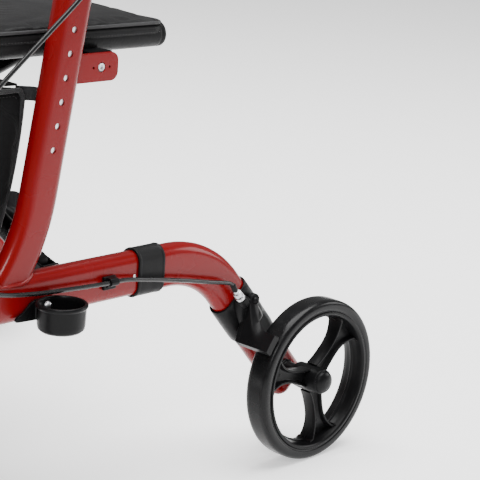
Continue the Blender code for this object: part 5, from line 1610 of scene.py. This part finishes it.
def make_back_strap():
    low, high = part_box("back_strap")
    tall = high.z - low.z - 0.0045            # its lower edge clears the folded seat
    middle_z = high.z - tall / 2
    half = high.x
    end_y = high.y - 0.0062
    bow = end_y - low.y - 0.0068
    radius = (half * half + bow * bow) / (2 * bow)
    sweep_angle = math.asin(half / radius)

    def at(t, lift, z):
        a = t * sweep_angle
        return Vector(((radius + lift) * math.sin(a), end_y - bow + radius
                       - (radius + lift) * math.cos(a), z))

    count = 96
    sections = []
    for i in range(count + 1):
        t = -1 + 2 * i / count
        ease = min(1.0, (1 - abs(t)) / 0.10)
        fat = 0.0026 + 0.0036 * math.sin(math.pi / 2 * ease)
        rise = tall / 2 - 0.0008 - 0.004 * (1 - math.sin(math.pi / 2 * ease))
        dimple = 1 - 0.10 * math.cos(2 * math.pi * t * 9) * ease
        ring = []
        for k in range(28):
            a = 2 * math.pi * k / 28
            c, s = math.cos(a), math.sin(a)
            lift = math.copysign(abs(c) ** 0.75, c) * fat * dimple
            z = math.copysign(abs(s) ** 0.55, s) * rise
            ring.append(at(t, lift, middle_z + z))
        sections.append(ring)
    pad = skin("back_strap_pad", sections, smooth=70)
    dress(pad, "left_frame", "bag_nylon", nodes=["back_strap"])
    soft = [pad]
    for word, sign in (("upper", 1), ("lower", -1)):
        edge = [at(-0.985 + 1.97 * i / 80, 0, middle_z + sign * (tall / 2 - 0.0016))
                for i in range(81)]
        soft.append(dress(tube_ring(f"back_strap_binding_{word}", edge, 0.0015, closed=False),
                          "left_frame", "bag_nylon", "webbing"))
        for face, lift in (("front", 0.0058), ("rear", -0.0058)):
            row = [at(-0.90 + 1.80 * i / 80, lift, middle_z + sign * (tall / 2 - 0.0078))
                   for i in range(81)]
            soft.append(dress(stitches(f"back_strap_stitches_{word}_{face}", row, 0.0045,
                                       0.0028, 0.0005), "left_frame", "bag_nylon", "thread"))
    for obj in soft:
        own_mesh(obj)
    for side, sign in (("left", 1), ("right", -1)):
        face = sign * (FRAME_X - UPRIGHT_WIDE / 2)
        for index, offset in enumerate((-0.010, 0.010)):
            screw = lathe(f"back_strap_screw_{side}_{index}",
                          [(0, 0.0048), (0.0024, 0.0046), (0.0044, 0.0034), (0.0046, 0.0024),
                           (0.0030, 0.0024), (0.0030, -0.0030), (0, -0.0030)],
                          (face, end_y - 0.003, middle_z + offset), (-sign, 0, 0), 28)
            dress(screw, f"{side}_frame", "steel")


# ---- cane cup --------------------------------------------------------------------

def make_cane_cup():
    low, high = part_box("cane_cup")
    lip_r = 0.0282
    axis_x, axis_y = high.x - lip_r, high.y - lip_r
    r, floor = 0.0265, low.z + 0.003
    profile = [(0, low.z), (0.0215, low.z + 0.0002), (0.0248, low.z + 0.0030),
               (r - 0.0008, low.z + 0.0075), (r, high.z - 0.0052), (lip_r - 0.0010, high.z - 0.0046),
               (lip_r, high.z - 0.0032), (lip_r, high.z - 0.0016), (lip_r - 0.0014, high.z),
               (r - 0.0014, high.z), (r - 0.0024, high.z - 0.0012), (r - 0.0030, high.z - 0.004),
               (r - 0.0040, floor + 0.006), (r - 0.0075, floor), (0, floor)]
    cup = lathe("cane_cup_shell", profile, (axis_x, axis_y, 0), (0, 0, 1), 96, ease=0.0007)
    dress(cup, "left_frame", "black_plastic", nodes=["cane_cup"])
    rail_out = FRAME_X + RAIL_WIDE / 2
    bolt = centre("cup_bolt")
    pad = block("cane_cup_pad", (rail_out + 0.0005, axis_y - 0.0150, bolt.z - 0.0140),
                (axis_x - r + 0.0032, axis_y + 0.0150, bolt.z + 0.0085), 0.0022, 4)
    dress(pad, "left_frame", "black_plastic")
    wing = [(axis_y - 0.0400, low.z + 0.0085), (axis_y - 0.0080, low.z + 0.0070),
            (axis_y - 0.0080, low.z + 0.0290), (axis_y - 0.0180, low.z + 0.0285),
            (axis_y - 0.0300, low.z + 0.0175), (axis_y - 0.0400, low.z + 0.0130)]
    wing = rounded(wing, 0.004, 4)
    lug = plate("cane_cup_lug", [wing], 0.0034, rail_out + 0.0026, 0.0008)
    dress(lug, "left_frame", "black_plastic")
    inside = axis_x - r + 0.0036
    head = lathe("cup_bolt_head", [(0, inside + 0.0040), (0.0026, inside + 0.0036),
                                   (0.0046, inside + 0.0022), (0.0054, inside + 0.0002),
                                   (0.0030, inside - 0.0006), (0.0030, rail_out - 0.002),
                                   (0, rail_out - 0.002)], (0, bolt.y, bolt.z), steps=36)
    dress(head, "left_frame", "steel", nodes=["cup_bolt"])
    for index, offset in enumerate((-0.0105, 0.0105)):
        rivet = lathe(f"cup_rivet_{index}", [(0, 0.0010), (0.0012, 0.0009), (0.0020, 0.0),
                                             (0.0020, -0.002)],
                      (inside - 0.0002 - 0.0006, bolt.y + offset, bolt.z + 0.0048), steps=24)
        dress(rivet, "left_frame", "bright_aluminium")


# ---- the walker --------------------------------------------------------------------

add_camera()
add_stage()
tree = make_rail()
make_upright(tree)
make_head_tube()
make_tab()
make_band_and_clip()
make_brace_feet()
make_wheel("rear", AXLE, 0.0205, "SIDE_rear_wheel")
make_wheel("front", FRONT_AXLE, 0.0185, "SIDE_front_wheel")
make_rear_axle()
make_caster()
make_cable()
make_brake()
make_handle()
make_brace()
make_seat()
make_bag()
make_back_strap()
make_cane_cup()
